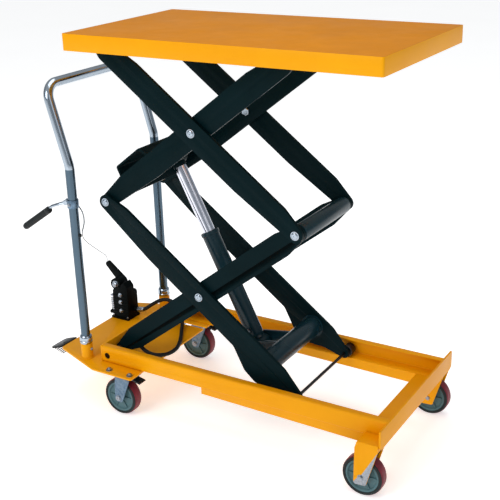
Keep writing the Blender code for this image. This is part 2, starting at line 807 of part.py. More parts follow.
def outer_lower_pair():
    body = carrier("outer_lower_axis", (CENTRE_X, 0, LOW_Z), -ARM_ANGLE)
    wide = ARM_WIDTH / 2
    gusset = (
        (0.162, -wide, 0.02),
        (0.229, -wide - GUSSET_DEPTH + 0.003, 0.02),
        (0.276, -wide - GUSSET_DEPTH, 0.02),
    )
    outline = arm_outline(
        (ARM_JOINT_RADIUS, SHORT_TAPER, LONG_TAPER), (ARM_TIP_RADIUS, 0.075, 0.055), 0, gusset
    )
    holes = [(-HALF, PIN_BORE), (0, PIN_BORE), (HALF, TRACK_AXLE_RADIUS + RUNNING)]
    arms("outer_lower_arm", outline, holes, OUTER_ARM_FACE, body)
    pivot_pin("low_pin", CENTRE_X, LOW_Z, body)
    pivot_pin("left_pin", PIVOT_X, JOINT_Z, body)
    track_axle("lower_axle", FAR_X, PIVOT_Z, body)
    cylinder_carrier(body)
    roller_pair("lower_roller", FAR_X, PIVOT_Z)


def cylinder_carrier(body):
    """Cross tube between the outer arms, with two lugs and the pin for the cylinder's foot."""
    x, z = scissor_point(CARRIER_TUBE_ALONG, -CARRIER_TUBE_DROP, LOW_Z, False)
    reach = OUTER_ARM_FACE - GAP
    tube_part = rod_between((x, -reach, z), (x, reach, z), CARRIER_TUBE_RADIUS, 24)
    toward = Vector((FOOT.x - x, FOOT.z - z)).normalized()
    across = Vector((-toward.y, toward.x))
    lugs = []
    near = CARRIER_TUBE_RADIUS - 0.006
    far = LUG_RADIUS
    start = Vector((x, z))
    end = Vector((FOOT.x, FOOT.z))
    corners = [
        (*(start + across * near), 0),
        (*(start - across * near), 0),
        (*(end + toward * far - across * far), far * 0.9),
        (*(end + toward * far + across * far), far * 0.9),
    ]
    for side, sign in SIDES:
        lugs.append(plate(
            rounded(corners), [],
            *sorted((sign * LUG_FACE, sign * (LUG_FACE + LUG_THICKNESS))),
        ))
    reach = LUG_FACE + LUG_THICKNESS + 0.003
    pin = rod_between((FOOT.x, -reach, FOOT.z), (FOOT.x, reach, FOOT.z), PIN_RADIUS, 16)
    finish("cylinder_carrier", join(tube_part, *lugs, pin), GREEN_BLACK, body)


LUG_RADIUS = 0.030


def outer_upper_pair():
    body = carrier("outer_upper_axis", (FAR_X, 0, JOINT_Z), -ARM_ANGLE)
    outline = arm_outline(
        (ARM_TIP_RADIUS, TIP_TAPER, TIP_TAPER / 3), (ARM_JOINT_RADIUS, SHORT_TAPER, LONG_TAPER),
        -HALF,
    )
    holes = [(-ARM_SPAN, PIN_BORE), (-HALF, PIN_BORE), (0, PIN_BORE)]
    arms("outer_upper_arm", outline, holes, OUTER_ARM_FACE, body)
    pivot_pin("high_pin", CENTRE_X, HIGH_Z, body)


def inner_upper_pair():
    body = carrier("inner_upper_axis", (CENTRE_X, 0, HIGH_Z), ARM_ANGLE)
    outline = arm_outline(
        (ARM_JOINT_RADIUS, SHORT_TAPER + 0.025, LONG_TAPER), (ARM_TIP_RADIUS, TIP_TAPER, 0.05), 0
    )
    holes = [(-HALF, PIN_BORE), (0, PIN_BORE), (HALF, TRACK_AXLE_RADIUS + RUNNING)]
    arms("inner_upper_arm", outline, holes, INNER_ARM_FACE, body)
    track_axle("upper_axle", FAR_X, TABLE_PIVOT_Z, body)
    roller_pair("upper_roller", FAR_X, TABLE_PIVOT_Z)
    wall = 0.005
    proud = ARM_WIDTH / 2 + 0.030
    outside = [
        (EYE_ALONG - 0.118, -0.022, 0), (EYE_ALONG - 0.100, proud, 0.008),
        (EYE_ALONG + 0.006, proud, 0.008), (EYE_ALONG + 0.050, -0.022, 0),
    ]
    inside = [
        (EYE_ALONG + 0.050 - wall, -0.022, 0), (EYE_ALONG + 0.006 - wall, proud - wall, 0.004),
        (EYE_ALONG - 0.100 + wall, proud - wall, 0.004), (EYE_ALONG - 0.118 + wall, -0.022, 0),
    ]
    reach = INNER_ARM_FACE - GAP
    hood = plate(rounded(outside + inside), [], -reach, reach)
    slot = box((EYE_ALONG + 0.008, -0.0335, -0.030), (EYE_ALONG + 0.060, 0.0335, 0.044))
    finish("torsion_box", cut(soften(hood, 0.001), slot), GREEN_BLACK, body, local=True)


def cylinder():
    """Barrel on the lower scissor's lugs, and the rod with its eye under the torsion box."""
    barrel_axis = carrier("barrel_axis", FOOT)
    bore = ROD_RADIUS + RUNNING
    top = BARREL_LENGTH
    profile = [
        (bore, top), (BARREL_RADIUS + 0.002, top), (BARREL_RADIUS + 0.002, top - 0.012),
        (BARREL_RADIUS, top - 0.012), (BARREL_RADIUS, 0.032), (BARREL_RADIUS - 0.006, 0.018),
        (0, 0.018), (0, 0.045), (bore, 0.045),
    ]
    barrel = turned(profile, FOOT, CYLINDER_DIRECTION, 24, ring=True)
    eye_half = LUG_FACE - 2 * GAP
    eye = rod_between(
        FOOT - ALONG_Y * eye_half, FOOT + ALONG_Y * eye_half, 0.022, 20
    )
    hole = rod_between(FOOT - ALONG_Y * 0.05, FOOT + ALONG_Y * 0.05, PIN_BORE, 16)
    finish("cylinder_barrel", cut(join(barrel, eye), hole), GREEN_BLACK, barrel_axis)
    rod_axis = carrier("rod_axis", EYE)
    rod_start = EYE - CYLINDER_DIRECTION * ROD_LENGTH
    rod = rod_between(rod_start, EYE - CYLINDER_DIRECTION * 0.012, ROD_RADIUS, 24)
    eye = rod_between(EYE - ALONG_Y * 0.030, EYE + ALONG_Y * 0.030, 0.020, 20)
    finish("piston_rod", join(rod, eye), CHROME, rod_axis)


# Table

def table():
    body = carrier("table_axis", (PIVOT_X, 0, TABLE_PIVOT_Z))
    start = PIVOT_X - PIVOT_INSET
    end = start + TABLE_LENGTH
    half = TABLE_WIDTH / 2
    wall = TABLE_SKIRT_WALL
    bottom = TABLE_TOP - TABLE_SKIRT
    corner = TABLE_CORNER
    footprint = rounded([
        (start, -half, corner), (end, -half, corner), (end, half, corner), (start, half, corner)
    ])
    tray = soften(plate(footprint, [], bottom, TABLE_TOP, "Z"), 0.0025, 2)
    tray = baked(tray)
    hollow = box(
        (start + wall, wall - half, bottom - 0.01), (end - wall, half - wall, TABLE_TOP - TABLE_PLATE)
    )
    tracks = []
    bite = TABLE_PLATE / 4
    web = ROLLER_FACE + ROLLER_WIDTH + 0.008
    ledge_top = TABLE_PIVOT_Z - ROLLER_RADIUS - 0.0008
    for side, sign in SIDES:
        section = [
            (sign * (web + 0.003), TABLE_TOP - TABLE_PLATE + bite),
            (sign * (web + 0.003), ledge_top - 0.003),
            (sign * ROLLER_FACE, ledge_top - 0.003),
            (sign * ROLLER_FACE, ledge_top),
            (sign * web, ledge_top),
            (sign * web, TABLE_TOP - TABLE_PLATE + bite),
        ]
        tracks.append(plate(section, [], start + 0.012, end - 0.012, "X"))
    shaft_bore = rod_between(
        (PIVOT_X, -web - 0.006, TABLE_PIVOT_Z), (PIVOT_X, web + 0.006, TABLE_PIVOT_Z), PIN_BORE, 16
    )
    finish("table_tray", cut(join(cut(tray, hollow), *tracks), shaft_bore), YELLOW, body)
    reach = web + 0.0045
    shaft = rod_between(
        (PIVOT_X, -reach, TABLE_PIVOT_Z), (PIVOT_X, reach, TABLE_PIVOT_Z), PIN_RADIUS, 16
    )
    finish("table_shaft", shaft, STEEL, body)


# Handle and controls

def handle():
    """U-shaped push handle with a collar at the foot of each post."""
    x = PIVOT_X + POST_X
    top_x = x - HANDLE_LEAN
    foot = DECK_TOP + 0.006
    corners = []
    for sign in (-1, 1):
        half = [
            (x, sign * POST_Y, foot, 0),
            (x, sign * POST_Y, HANDLE_KNEE_Z, 0.06),
            (top_x, sign * POST_Y, HANDLE_TOP_Z, 0.045),
        ]
        corners += half if sign < 0 else reversed(half)
    frame = tube(rounded_path(corners), TUBE_RADIUS, 3)
    socket_top = DECK_TOP + SOCKET_HEIGHT + GAP
    extras = []
    for sign in (-1, 1):
        collar = [
            (0, socket_top + 0.026), (TUBE_RADIUS + 0.003, socket_top + 0.026),
            (TUBE_RADIUS + 0.0055, socket_top + 0.020), (TUBE_RADIUS + 0.0055, socket_top),
            (0, socket_top),
        ]
        extras.append(turned(collar, (x, sign * POST_Y, 0), (0, 0, 1), 24))
    finish("handle_frame", join(frame, *extras), CHROME)


def lever_bracket():
    """Band clamped round the right post, with an ear for the release lever."""
    x = PIVOT_X + POST_X
    inner = TUBE_RADIUS + GAP
    half = 0.012
    band = turned(
        [(inner, half), (inner + 0.0025, half), (inner + 0.0025, -half), (inner, -half)],
        (x, -POST_Y, LEVER_Z), (0, 0, 1), 24, ring=True,
    )
    ear = plate(
        rounded([
            (x - 0.013, LEVER_Z - 0.009, 0), (x - 0.013, LEVER_Z + 0.009, 0),
            (x - 0.034, LEVER_Z + 0.009, 0.007), (x - 0.034, LEVER_Z - 0.009, 0.007),
        ]),
        [], LEVER_EAR_Y - 0.0015, LEVER_EAR_Y + 0.0015,
    )
    bore = rod_between(
        (x - LEVER_PIVOT_OFFSET, -POST_Y - 0.03, LEVER_Z),
        (x - LEVER_PIVOT_OFFSET, -POST_Y + 0.03, LEVER_Z), 0.0033, 12,
    )
    finish("lever_bracket", cut(join(band, ear), bore), ZINC)


LEVER_PIVOT_OFFSET = 0.025
LEVER_EAR_Y = -POST_Y + 0.008


def release_lever():
    pivot = Vector((PIVOT_X + POST_X - LEVER_PIVOT_OFFSET, -POST_Y, LEVER_Z))
    body = carrier("handle_lever_axis", pivot)
    post = PIVOT_X + POST_X
    slope = math.radians(34)
    tip = Vector((PIVOT_X + LEVER_END + GRIP_RADIUS * math.sin(slope), -POST_Y, 0))
    grip_start_x = tip.x + GRIP_LENGTH * math.cos(slope)
    start_z = LEVER_Z - 0.028
    tip.z = start_z - GRIP_LENGTH * math.sin(slope)
    inward = Vector((math.cos(slope), 0, math.sin(slope)))
    path = rounded_path([
        (pivot.x - 0.003, pivot.y - 0.002, pivot.z, 0),
        (*(tip + inward * (GRIP_LENGTH + 0.016) + Vector((0, -0.002, 0))), 0.012),
        (*(tip + inward * 0.020 + Vector((0, -0.002, 0))), 0),
    ])
    bar = tube(path, 0.0045, 2)
    boss = rod_between(
        pivot - ALONG_Y * 0.006, pivot + ALONG_Y * 0.0062, 0.008, 16
    )
    pin = rod_between(pivot, pivot + ALONG_Y * 0.0115, 0.0030, 12)
    finish("release_lever", join(bar, boss, pin), CHROME, body)
    grip_profile = [
        (0, GRIP_LENGTH), (GRIP_RADIUS * 0.7, GRIP_LENGTH), (GRIP_RADIUS, GRIP_LENGTH - 0.006),
        (GRIP_RADIUS, 0.006), (GRIP_RADIUS * 0.7, 0), (0.0045 + GAP, 0), (0.0045 + GAP, 0.112),
        (0, 0.112),
    ]
    start = tip + inward * GRIP_LENGTH + Vector((0, -0.002, 0))
    grip = turned(grip_profile, start, -inward, 20)
    finish("lever_grip", grip, RUBBER, body)


GRIP_LENGTH = 0.128
GRIP_RADIUS = 0.0105


def pump():
    """Tank, pump block and head as one casting, with its piston and release arm."""
    x = PIVOT_X + PUMP_X
    y = PUMP_Y
    floor = DECK_TOP + GAP
    foot = box((x - 0.034, y - 0.031, floor), (x + 0.034, y + 0.031, floor + 0.007))
    casting = plate(
        rounded([
            (x - 0.026, floor + 0.004, 0), (x - 0.026, floor + 0.098, 0.006),
            (x - 0.012, floor + 0.112, 0.006), (x + 0.006, floor + 0.112, 0),
            (x + 0.010, floor + 0.122, 0.003), (x + 0.020, floor + 0.131, 0.003),
            (x + 0.033, floor + 0.114, 0.006), (x + 0.033, floor + 0.004, 0),
        ]),
        [], y - 0.026, y + 0.010,
    )
    tank = plate(
        rounded([
            (x - 0.026, floor + 0.004, 0), (x - 0.026, floor + 0.094, 0.008),
            (x + 0.033, floor + 0.094, 0.008), (x + 0.033, floor + 0.004, 0),
        ]),
        [], y + 0.009, y + 0.026,
    )
    head = rod_between(
        (x - 0.016, y - 0.022, floor + HEAD_HEIGHT), (x - 0.016, y + 0.012, floor + HEAD_HEIGHT),
        0.019, 20,
    )
    guide = box(
        (x - PISTON_OFFSET - 0.010, y - 0.011, floor + 0.004),
        (x - 0.024, y + 0.011, floor + GUIDE_HEIGHT),
    )
    guide_bore = rod_between(
        (x - PISTON_OFFSET, y, floor - 0.01), (x - PISTON_OFFSET, y, floor + 0.03),
        PISTON_RADIUS + RUNNING, 16,
    )
    port = rod_between(
        (x + 0.030, HOSE_PORT_Y, floor + HOSE_PORT_HEIGHT),
        (x + 0.046, HOSE_PORT_Y, floor + HOSE_PORT_HEIGHT), 0.009, 16,
    )
    body = cut(join(casting, tank, foot, head, guide, port), guide_bore)
    finish("pump_body", body, BLACK)
    slide = carrier("pump_piston_axis", (x - PISTON_OFFSET, y, floor))
    piston_profile = [
        (0, floor + SPRING_TOP + 0.005), (0.011, floor + SPRING_TOP + 0.005),
        (0.011, floor + SPRING_TOP + GAP), (PISTON_RADIUS, floor + SPRING_TOP + GAP),
        (PISTON_RADIUS, PEDAL_SHAFT_Z + 0.008), (0, PEDAL_SHAFT_Z + 0.008),
    ]
    piston = turned(piston_profile, (x - PISTON_OFFSET, y, 0), (0, 0, 1), 16)
    finish("pump_piston", piston, STEEL, slide)
    pivot = Vector((x - 0.016, y + 0.012, floor + HEAD_HEIGHT))
    arm_axis = carrier("release_arm_axis", pivot)
    tip = Vector((-0.053, 0.049))
    across = Vector((-tip.y, tip.x)).normalized()
    along = tip.normalized()
    start = Vector((pivot.x, pivot.z))
    end = start + tip
    corners = [
        (*(start - along * 0.017 - across * 0.017), 0.016),
        (*(end + along * 0.009 - across * 0.009), 0.0085),
        (*(end + along * 0.009 + across * 0.009), 0.0085),
        (*(start - along * 0.017 + across * 0.017), 0.016),
    ]
    arm = plate(rounded(corners), [], y + 0.012 + GAP, y + 0.0225)
    finish("release_arm", arm, BLACK, arm_axis)


HEAD_HEIGHT = 0.118
GUIDE_HEIGHT = 0.014
PISTON_OFFSET = 0.046
PISTON_RADIUS = 0.006
SPRING_TOP = 0.064
HOSE_PORT_Y = PUMP_Y + 0.008
HOSE_PORT_HEIGHT = 0.030


def foot_pedal():
    """Cross shaft under the deck, with the pump's crank at one end and the pad at the other."""
    x = PIVOT_X + PEDAL_SHAFT_X
    z = PEDAL_SHAFT_Z
    body = carrier("foot_pedal_axis", (x, 0, z))
    shaft = rod_between((x, PEDAL_Y - 0.009, z), (x, PUMP_Y + 0.009, z), PEDAL_SHAFT_RADIUS, 16)
    piston_x = PIVOT_X + PUMP_X - PISTON_OFFSET
    crank = plate(
        rounded([
            (x + 0.010, z + 0.005, 0.004), (x + 0.010, z - 0.009, 0.004),
            (piston_x - 0.009, z - 0.006, 0.004), (piston_x - 0.009, z + 0.006, 0.004),
        ]),
        [], PUMP_Y - 0.008, PUMP_Y + 0.008,
    )
    pad_x = x - PEDAL_REACH
    arm = plate(
        rounded([
            (x + 0.010, z + 0.005, 0.004), (x + 0.010, z - 0.009, 0.004),
            (pad_x + 0.040, z - 0.012, 0.004), (pad_x + 0.020, z - 0.020, 0.001),
            (pad_x + 0.030, z - 0.004, 0.004),
        ]),
        [], PEDAL_Y - 0.008, PEDAL_Y + 0.008,
    )
    pad = plate(
        rounded([
            (0, -0.038, 0.014), (0.052, -0.038, 0.006), (0.052, 0.038, 0.006), (0, 0.038, 0.014)
        ]),
        [], -0.0022, 0.0022, "Z",
    )
    tilt = math.radians(-18)
    work = bmesh.new()
    work.from_mesh(pad.data)
    for vert in work.verts:
        u, w = vert.co.x, vert.co.z
        vert.co.x = pad_x + u * math.cos(tilt) + w * math.sin(tilt)
        vert.co.z = z - 0.018 - u * math.sin(tilt) + w * math.cos(tilt)
        vert.co.y += PEDAL_Y
    work.to_mesh(pad.data)
    work.free()
    finish("foot_pedal", join(shaft, crank, arm, pad), BLACK, body)


# Cable and hose

def release_cable():
    """Wire from the clamp on the post down to the pump's release arm."""
    x = PIVOT_X + POST_X
    floor = DECK_TOP + GAP
    lever_end = (x - 0.004, -POST_Y + TUBE_RADIUS + 0.0055, LEVER_Z - 0.006)
    arm_tip = (
        PIVOT_X + PUMP_X - 0.069, PUMP_Y + 0.010, floor + HEAD_HEIGHT + 0.0625
    )
    route = [
        lever_end,
        (x + 0.012, -POST_Y + 0.022, LEVER_Z - 0.030),
        (x + 0.016, -POST_Y + 0.022, LEVER_Z - 0.060),
        (x + 0.008, -POST_Y + 0.019, LEVER_Z - 0.095),
        (x - 0.006, -POST_Y + 0.045, LEVER_Z - 0.130),
        (x - 0.050, -POST_Y + 0.150, LEVER_Z - 0.205),
        (x - 0.100, -POST_Y + 0.240, LEVER_Z - 0.262),
        arm_tip,
    ]
    finish("release_cable", tube(smooth_path(route, 0.016), 0.0012, 1), STEEL)


HOSE_RADIUS = 0.006
HOSE_ARM_Y = -(INNER_ARM_FACE - 0.009)


def hoses():
    """Hose from the pump over the deck, up the inner arm and down the outer arm to the barrel."""
    floor = DECK_TOP + HOSE_RADIUS + 0.002
    x = PIVOT_X
    y = HOSE_ARM_Y

    def on_rising(along, across):
        px, pz = scissor_point(along, across, LOW_Z, True)
        return (px, y, pz)

    def on_falling(along, across, aside=0.0):
        px, pz = scissor_point(along, across, LOW_Z, False)
        return (px, y + aside, pz)

    port = (PIVOT_X + PUMP_X + 0.046 + GAP, HOSE_PORT_Y, DECK_TOP + GAP + HOSE_PORT_HEIGHT)
    union = HOSE_UNION - HALF
    deck_route = [
        port, (port[0] + 0.015, port[1], port[2]), (x - 0.075, 0.100, 0.193),
        (x - 0.058, 0.106, 0.206), (x - 0.033, 0.111, 0.222),
        (x - 0.007, 0.113, 0.231), (x + 0.020, 0.112, 0.229), (x + 0.043, 0.110, 0.214),
        (x + 0.056, 0.107, 0.190), (x + 0.064, 0.098, floor + 0.008), (x + 0.080, 0.070, floor),
        (x + 0.104, 0.032, floor), (x + 0.126, -0.008, floor), (x + 0.140, -0.048, floor),
        (x + 0.136, -0.088, floor + 0.001), (x + 0.112, y + 0.006, floor + 0.004),
        (x + 0.082, y, floor + 0.012), (x + 0.060, y, floor + 0.030),
        (x + 0.062, y, floor + 0.052),
        on_rising(union - 0.034, 0.002), on_rising(union - 0.016, 0), on_rising(union, 0),
    ]
    finish("hose_deck", tube(smooth_path(deck_route, 0.015), HOSE_RADIUS), RUBBER)
    turn_x = CENTRE_X
    turn_z = LOW_Z - 0.026
    arm_route = [
        on_rising(union + GAP, 0), on_rising(union + 0.016, 0), on_rising(-0.130, -0.002),
        on_rising(-0.070, -0.012), (turn_x - 0.032, y, turn_z - 0.008),
        (turn_x - 0.015, y, turn_z), (turn_x, y, turn_z),
    ]
    parent = bpy.data.objects["inner_lower_axis"]
    finish("hose_arm", tube(smooth_path(arm_route, 0.015), HOSE_RADIUS), RUBBER, parent)
    side_port = FOOT + CYLINDER_DIRECTION * 0.050 - ALONG_Y * (BARREL_RADIUS + GAP)
    foot_route = [
        (turn_x + GAP, y, turn_z), (turn_x + 0.015, y, turn_z), on_falling(0.045, -0.016),
        on_falling(0.080, -0.014), on_falling(0.130, -0.016), on_falling(0.165, -0.032, 0.008),
        (side_port.x + 0.016, -0.080, side_port.z + 0.005),
        (side_port.x + 0.002, -0.048, side_port.z + 0.001), tuple(side_port),
    ]
    parent = bpy.data.objects["outer_lower_axis"]
    finish("hose_foot", tube(smooth_path(foot_route, 0.015), HOSE_RADIUS), RUBBER, parent)


HOSE_UNION = 0.140            # along the inner arm from the base pivot


for side_name, side_sign in SIDES:
    rail(side_name, side_sign)
    fixed_wheel(side_name, side_sign)
    caster(side_name, side_sign)
base_shaft()
end_member()
cross_plate()
deck()
inner_lower_pair()
outer_lower_pair()
outer_upper_pair()
inner_upper_pair()
cylinder()
table()
handle()
lever_bracket()
release_lever()
pump()
foot_pedal()
release_cable()
hoses()
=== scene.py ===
"""Looks for the double scissor lift table: painted steel, chrome, wheels, pump, hose and cable."""

import json
import math

import bmesh
import bpy
from mathutils import Matrix, Vector

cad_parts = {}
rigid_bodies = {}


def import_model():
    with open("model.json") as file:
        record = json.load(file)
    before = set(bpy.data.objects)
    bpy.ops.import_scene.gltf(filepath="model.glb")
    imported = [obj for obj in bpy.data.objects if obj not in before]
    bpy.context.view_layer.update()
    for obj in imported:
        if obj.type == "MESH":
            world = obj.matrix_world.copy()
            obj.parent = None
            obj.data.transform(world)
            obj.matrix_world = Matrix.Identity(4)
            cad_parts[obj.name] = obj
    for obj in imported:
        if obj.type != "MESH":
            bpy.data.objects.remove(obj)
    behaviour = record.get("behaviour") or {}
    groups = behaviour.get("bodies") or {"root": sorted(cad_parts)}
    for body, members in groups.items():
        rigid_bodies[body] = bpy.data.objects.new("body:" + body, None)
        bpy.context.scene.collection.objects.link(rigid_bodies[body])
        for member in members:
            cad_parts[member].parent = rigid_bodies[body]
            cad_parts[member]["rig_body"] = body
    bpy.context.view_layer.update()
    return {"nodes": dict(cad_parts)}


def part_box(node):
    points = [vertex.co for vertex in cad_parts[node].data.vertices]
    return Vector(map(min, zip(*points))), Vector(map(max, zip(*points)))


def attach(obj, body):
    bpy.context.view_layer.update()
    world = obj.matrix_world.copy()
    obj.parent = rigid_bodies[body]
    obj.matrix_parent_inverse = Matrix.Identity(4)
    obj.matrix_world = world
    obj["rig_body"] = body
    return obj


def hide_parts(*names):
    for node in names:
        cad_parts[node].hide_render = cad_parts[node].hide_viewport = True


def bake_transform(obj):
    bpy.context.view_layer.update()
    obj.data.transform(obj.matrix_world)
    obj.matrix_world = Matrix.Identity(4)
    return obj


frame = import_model()
NODES = frame["nodes"]
SCENE = bpy.context.scene
ALONG_X = Vector((1, 0, 0))
ALONG_Y = Vector((0, 1, 0))
ALONG_Z = Vector((0, 0, 1))
SIDES = (("right", -1), ("left", 1))
MM = 0.001


def middle(node):
    low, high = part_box(node)
    return (low + high) / 2


# Camera

CAMERA_PLACE = (1.4257, -2.1992, 1.5090)
CAMERA_AZIMUTH = math.radians(31.63)
CAMERA_DROP = math.radians(21.14)
CAMERA_ROLL = math.radians(-1.67)
CAMERA_LENS = 70.5


def make_camera():
    data = bpy.data.cameras.new("camera")
    data.lens = CAMERA_LENS
    data.sensor_width = 36
    camera = bpy.data.objects.new("camera", data)
    SCENE.collection.objects.link(camera)
    ahead = Vector((
        -math.sin(CAMERA_AZIMUTH) * math.cos(CAMERA_DROP),
        math.cos(CAMERA_AZIMUTH) * math.cos(CAMERA_DROP),
        -math.sin(CAMERA_DROP),
    ))
    turn = ahead.to_track_quat("-Z", "Y").to_matrix() @ Matrix.Rotation(CAMERA_ROLL, 3, "Z")
    camera.location = CAMERA_PLACE
    camera.rotation_euler = turn.to_euler()
    SCENE.camera = camera


make_camera()


# Colours and nodes

def colour(hex_value):
    """sRGB hex to linear."""
    channels = [int(hex_value[i:i + 2], 16) / 255 for i in (1, 3, 5)]
    linear = [c / 12.92 if c <= 0.04045 else ((c + 0.055) / 1.055) ** 2.4 for c in channels]
    return (*linear, 1)


def add(tree, kind, settings=None, **links):
    """Add a node. "in:Scale" sets that input; a link names its input, or its index as i0."""
    made = tree.nodes.new("ShaderNode" + kind)
    for name, value in (settings or {}).items():
        if name.startswith("in:"):
            key = name[3:]
            made.inputs[int(key) if key.isdigit() else key].default_value = value
        else:
            setattr(made, name, value)
    for name, source in links.items():
        key = name[1:] if name[0] == "i" and name[1:].isdigit() else name.replace("_", " ")
        tree.links.new(source, made.inputs[int(key) if key.isdigit() else key])
    return made


def ramp(tree, source, *stops):
    made = add(tree, "ValToRGB", Fac=source)
    elements = made.color_ramp.elements
    while len(elements) < len(stops):
        elements.new(0.5)
    for element, (place, value) in zip(elements, stops):
        element.position = place
        element.color = value if isinstance(value, tuple) else (value, value, value, 1)
    return made.outputs["Color"]


def surface(name, main, second, patch_mm, grain_mm, grain_height_mm, roughness,
            metallic=0.0, ior=1.5, stretch=(1, 1, 1), dust=None, scratches=0.0,
            contrast=(0.35, 0.7), gloss_level=0.5):
    """Layered finish: soft colour patches, fine grain in the bump, uneven gloss, settled dust.

    The finest real grains are coarsened to 0.4 mm or more, so that they still show in a view
    of the whole table.
    """
    made = bpy.data.materials.new(name)
    made.use_nodes = True
    tree = made.node_tree
    shader = tree.nodes["Principled BSDF"]
    place = add(tree, "TexCoord").outputs["Object"]
    laid = add(tree, "Mapping", {"in:Scale": stretch}, Vector=place).outputs["Vector"]
    patches = add(
        tree, "TexNoise", {"in:Scale": 1000 / patch_mm, "in:Detail": 5, "in:Roughness": 0.6},
        Vector=laid,
    ).outputs["Fac"]
    tint = ramp(tree, patches, (contrast[0], colour(main)), (contrast[1], colour(second)))
    if dust:
        normal = add(tree, "NewGeometry").outputs["Normal"]
        upward = add(tree, "SeparateXYZ", Vector=normal).outputs["Z"]
        specks = add(
            tree, "TexNoise", {"in:Scale": 1000 / 45, "in:Detail": 8, "in:Roughness": 0.7},
            Vector=place,
        ).outputs["Fac"]
        settled = add(tree, "Math", {"operation": "MULTIPLY", "use_clamp": True}, i0=upward,
                      i1=ramp(tree, specks, (0.35, 0.0), (0.8, dust[1]))).outputs[0]
        tint = add(tree, "MixRGB", {"in:Color2": colour(dust[0])}, Fac=settled,
                   Color1=tint).outputs["Color"]
    tree.links.new(tint, shader.inputs["Base Color"])
    smear = add(
        tree, "TexNoise", {"in:Scale": 1000 / (patch_mm * 0.4), "in:Detail": 6}, Vector=laid
    ).outputs["Fac"]
    gloss = add(
        tree, "MapRange",
        {"in:From Min": 0.3, "in:From Max": 0.7, "in:To Min": roughness[0],
         "in:To Max": roughness[1]},
        Value=smear,
    ).outputs["Result"]
    grain = add(
        tree, "TexNoise", {"in:Scale": 1000 / grain_mm, "in:Detail": 3, "in:Roughness": 0.55},
        Vector=laid,
    ).outputs["Fac"]
    if scratches:
        lines = add(
            tree, "Mapping", {"in:Scale": (6, 90, 90), "in:Rotation": (0.3, 0.5, 0.8)},
            Vector=place,
        ).outputs["Vector"]
        marks = add(tree, "TexNoise", {"in:Scale": 9, "in:Detail": 6, "in:Roughness": 0.75},
                    Vector=lines).outputs["Fac"]
        fine = ramp(tree, marks, (0.6, 0.0), (0.72, scratches))
        gloss = add(tree, "Math", {"operation": "ADD", "use_clamp": True}, i0=gloss,
                    i1=fine).outputs[0]
    tree.links.new(gloss, shader.inputs["Roughness"])
    bump = add(
        tree, "Bump", {"in:Strength": 0.6, "in:Distance": grain_height_mm * MM}, Height=grain
    ).outputs["Normal"]
    tree.links.new(bump, shader.inputs["Normal"])
    shader.inputs["Metallic"].default_value = metallic
    shader.inputs["IOR"].default_value = ior
    shader.inputs["Specular IOR Level"].default_value = gloss_level
    return made


# Sprayed and baked enamel: a slight orange peel, with thin dust where it settles.
YELLOW = surface("yellow_enamel", "#EEA300", "#E69800", 320, 2.2, 0.05, (0.34, 0.44),
                 dust=("#DC8A10", 0.35), scratches=0.12, gloss_level=0.12)
# Painted shade: a darker, browner copy of the same enamel for the upward faces of the top plate,
# with rougher gloss and more scratches.
YELLOW_PAINTED_TOP_SHADE = surface("yellow_enamel_painted_top_shade", "#D68608", "#CB7E06", 260, 2.2, 0.04, (0.42, 0.55),
                     dust=("#B8700C", 0.4), scratches=0.2, gloss_level=0.1)
# Dark enamel on laser-cut arms: nearly black, with a green cast in the light.
DARK = surface("green_black_enamel", "#061C20", "#041619", 240, 1.8, 0.05, (0.34, 0.46),
               dust=("#0E2A2E", 0.35), scratches=0.12, gloss_level=0.04)
# The same enamel flowed over round tubes, which keeps more of its gloss; its lighter base colour is
# painted sheen for the light the round tubes catch.
TUBE_DARK_PAINTED_SHEEN = surface("green_black_enamel_tube_painted_sheen", "#10303A", "#0C2730", 240, 1.8, 0.04,
                    (0.22, 0.32), dust=("#1C3A42", 0.3), gloss_level=0.3)
# Bright chrome plate with fine wiping marks.
CHROME = surface("bright_chrome_plate", "#AEB9C4", "#98A5B1", 150, 0.6, 0.004, (0.10, 0.2),
                 metallic=1.0, stretch=(1, 1, 0.3), scratches=0.12)
# Painted dark reflection: a darker, slightly rougher copy of the chrome plate for the lower posts.
CHROME_PAINTED_DARK_REFLECTION = surface("chrome_plate_painted_dark_reflection", "#566876", "#475865", 150, 0.6, 0.004, (0.14, 0.24),
                      metallic=1.0, stretch=(1, 1, 0.3), scratches=0.12)
# Hard chrome on the ground rod: fine rings from grinding.
ROD_CHROME = surface("ground_hard_chrome", "#E6E8F2", "#D6D8E4", 60, 0.4, 0.003, (0.12, 0.2),
                     metallic=1.0, stretch=(1, 1, 2))
# Blue-passivated zinc: a faint mottle of crystals and a cool cast.
ZINC = surface("blue_zinc_plate", "#70869A", "#5A7288", 9, 0.9, 0.01, (0.28, 0.45),
               metallic=1.0, contrast=(0.42, 0.6), scratches=0.1)
# Bright zinc on nuts and bolts.
BOLT_ZINC = surface("bright_zinc_plate", "#A3AAB2", "#868E98", 6, 0.6, 0.006, (0.22, 0.38),
                    metallic=1.0)
# Turned steel: grey, with fine tool marks.
STEEL = surface("turned_steel", "#484A4C", "#35373A", 12, 0.5, 0.01, (0.3, 0.5),
                metallic=1.0, stretch=(1, 4, 1))
# Black oxide on the plug over the base pivot.
OXIDE = surface("black_oxide_steel", "#2A1C12", "#1C130E", 8, 0.6, 0.01, (0.35, 0.5),
                metallic=1.0)
# Moulded grey-green nylon wheel centres.
HUB_GREY = surface("grey_green_nylon", "#4C6E74", "#3F5F64", 60, 1.2, 0.03, (0.42, 0.56),
                   dust=("#5C7474", 0.3), gloss_level=0.35)
# Cast polyurethane tread, maroon, scuffed by the floor.
TREAD = surface("maroon_polyurethane", "#7C1A2C", "#641623", 25, 1.4, 0.06, (0.38, 0.6),
                ior=1.49, scratches=0.2, gloss_level=0.35)
# The dark shoulder of the tyre, where the tread meets the wheel centre.
SHOULDER = surface("charcoal_rubber_shoulder", "#1C2627", "#131B1C", 30, 1.0, 0.05,
                   (0.5, 0.66), ior=1.52, gloss_level=0.25)
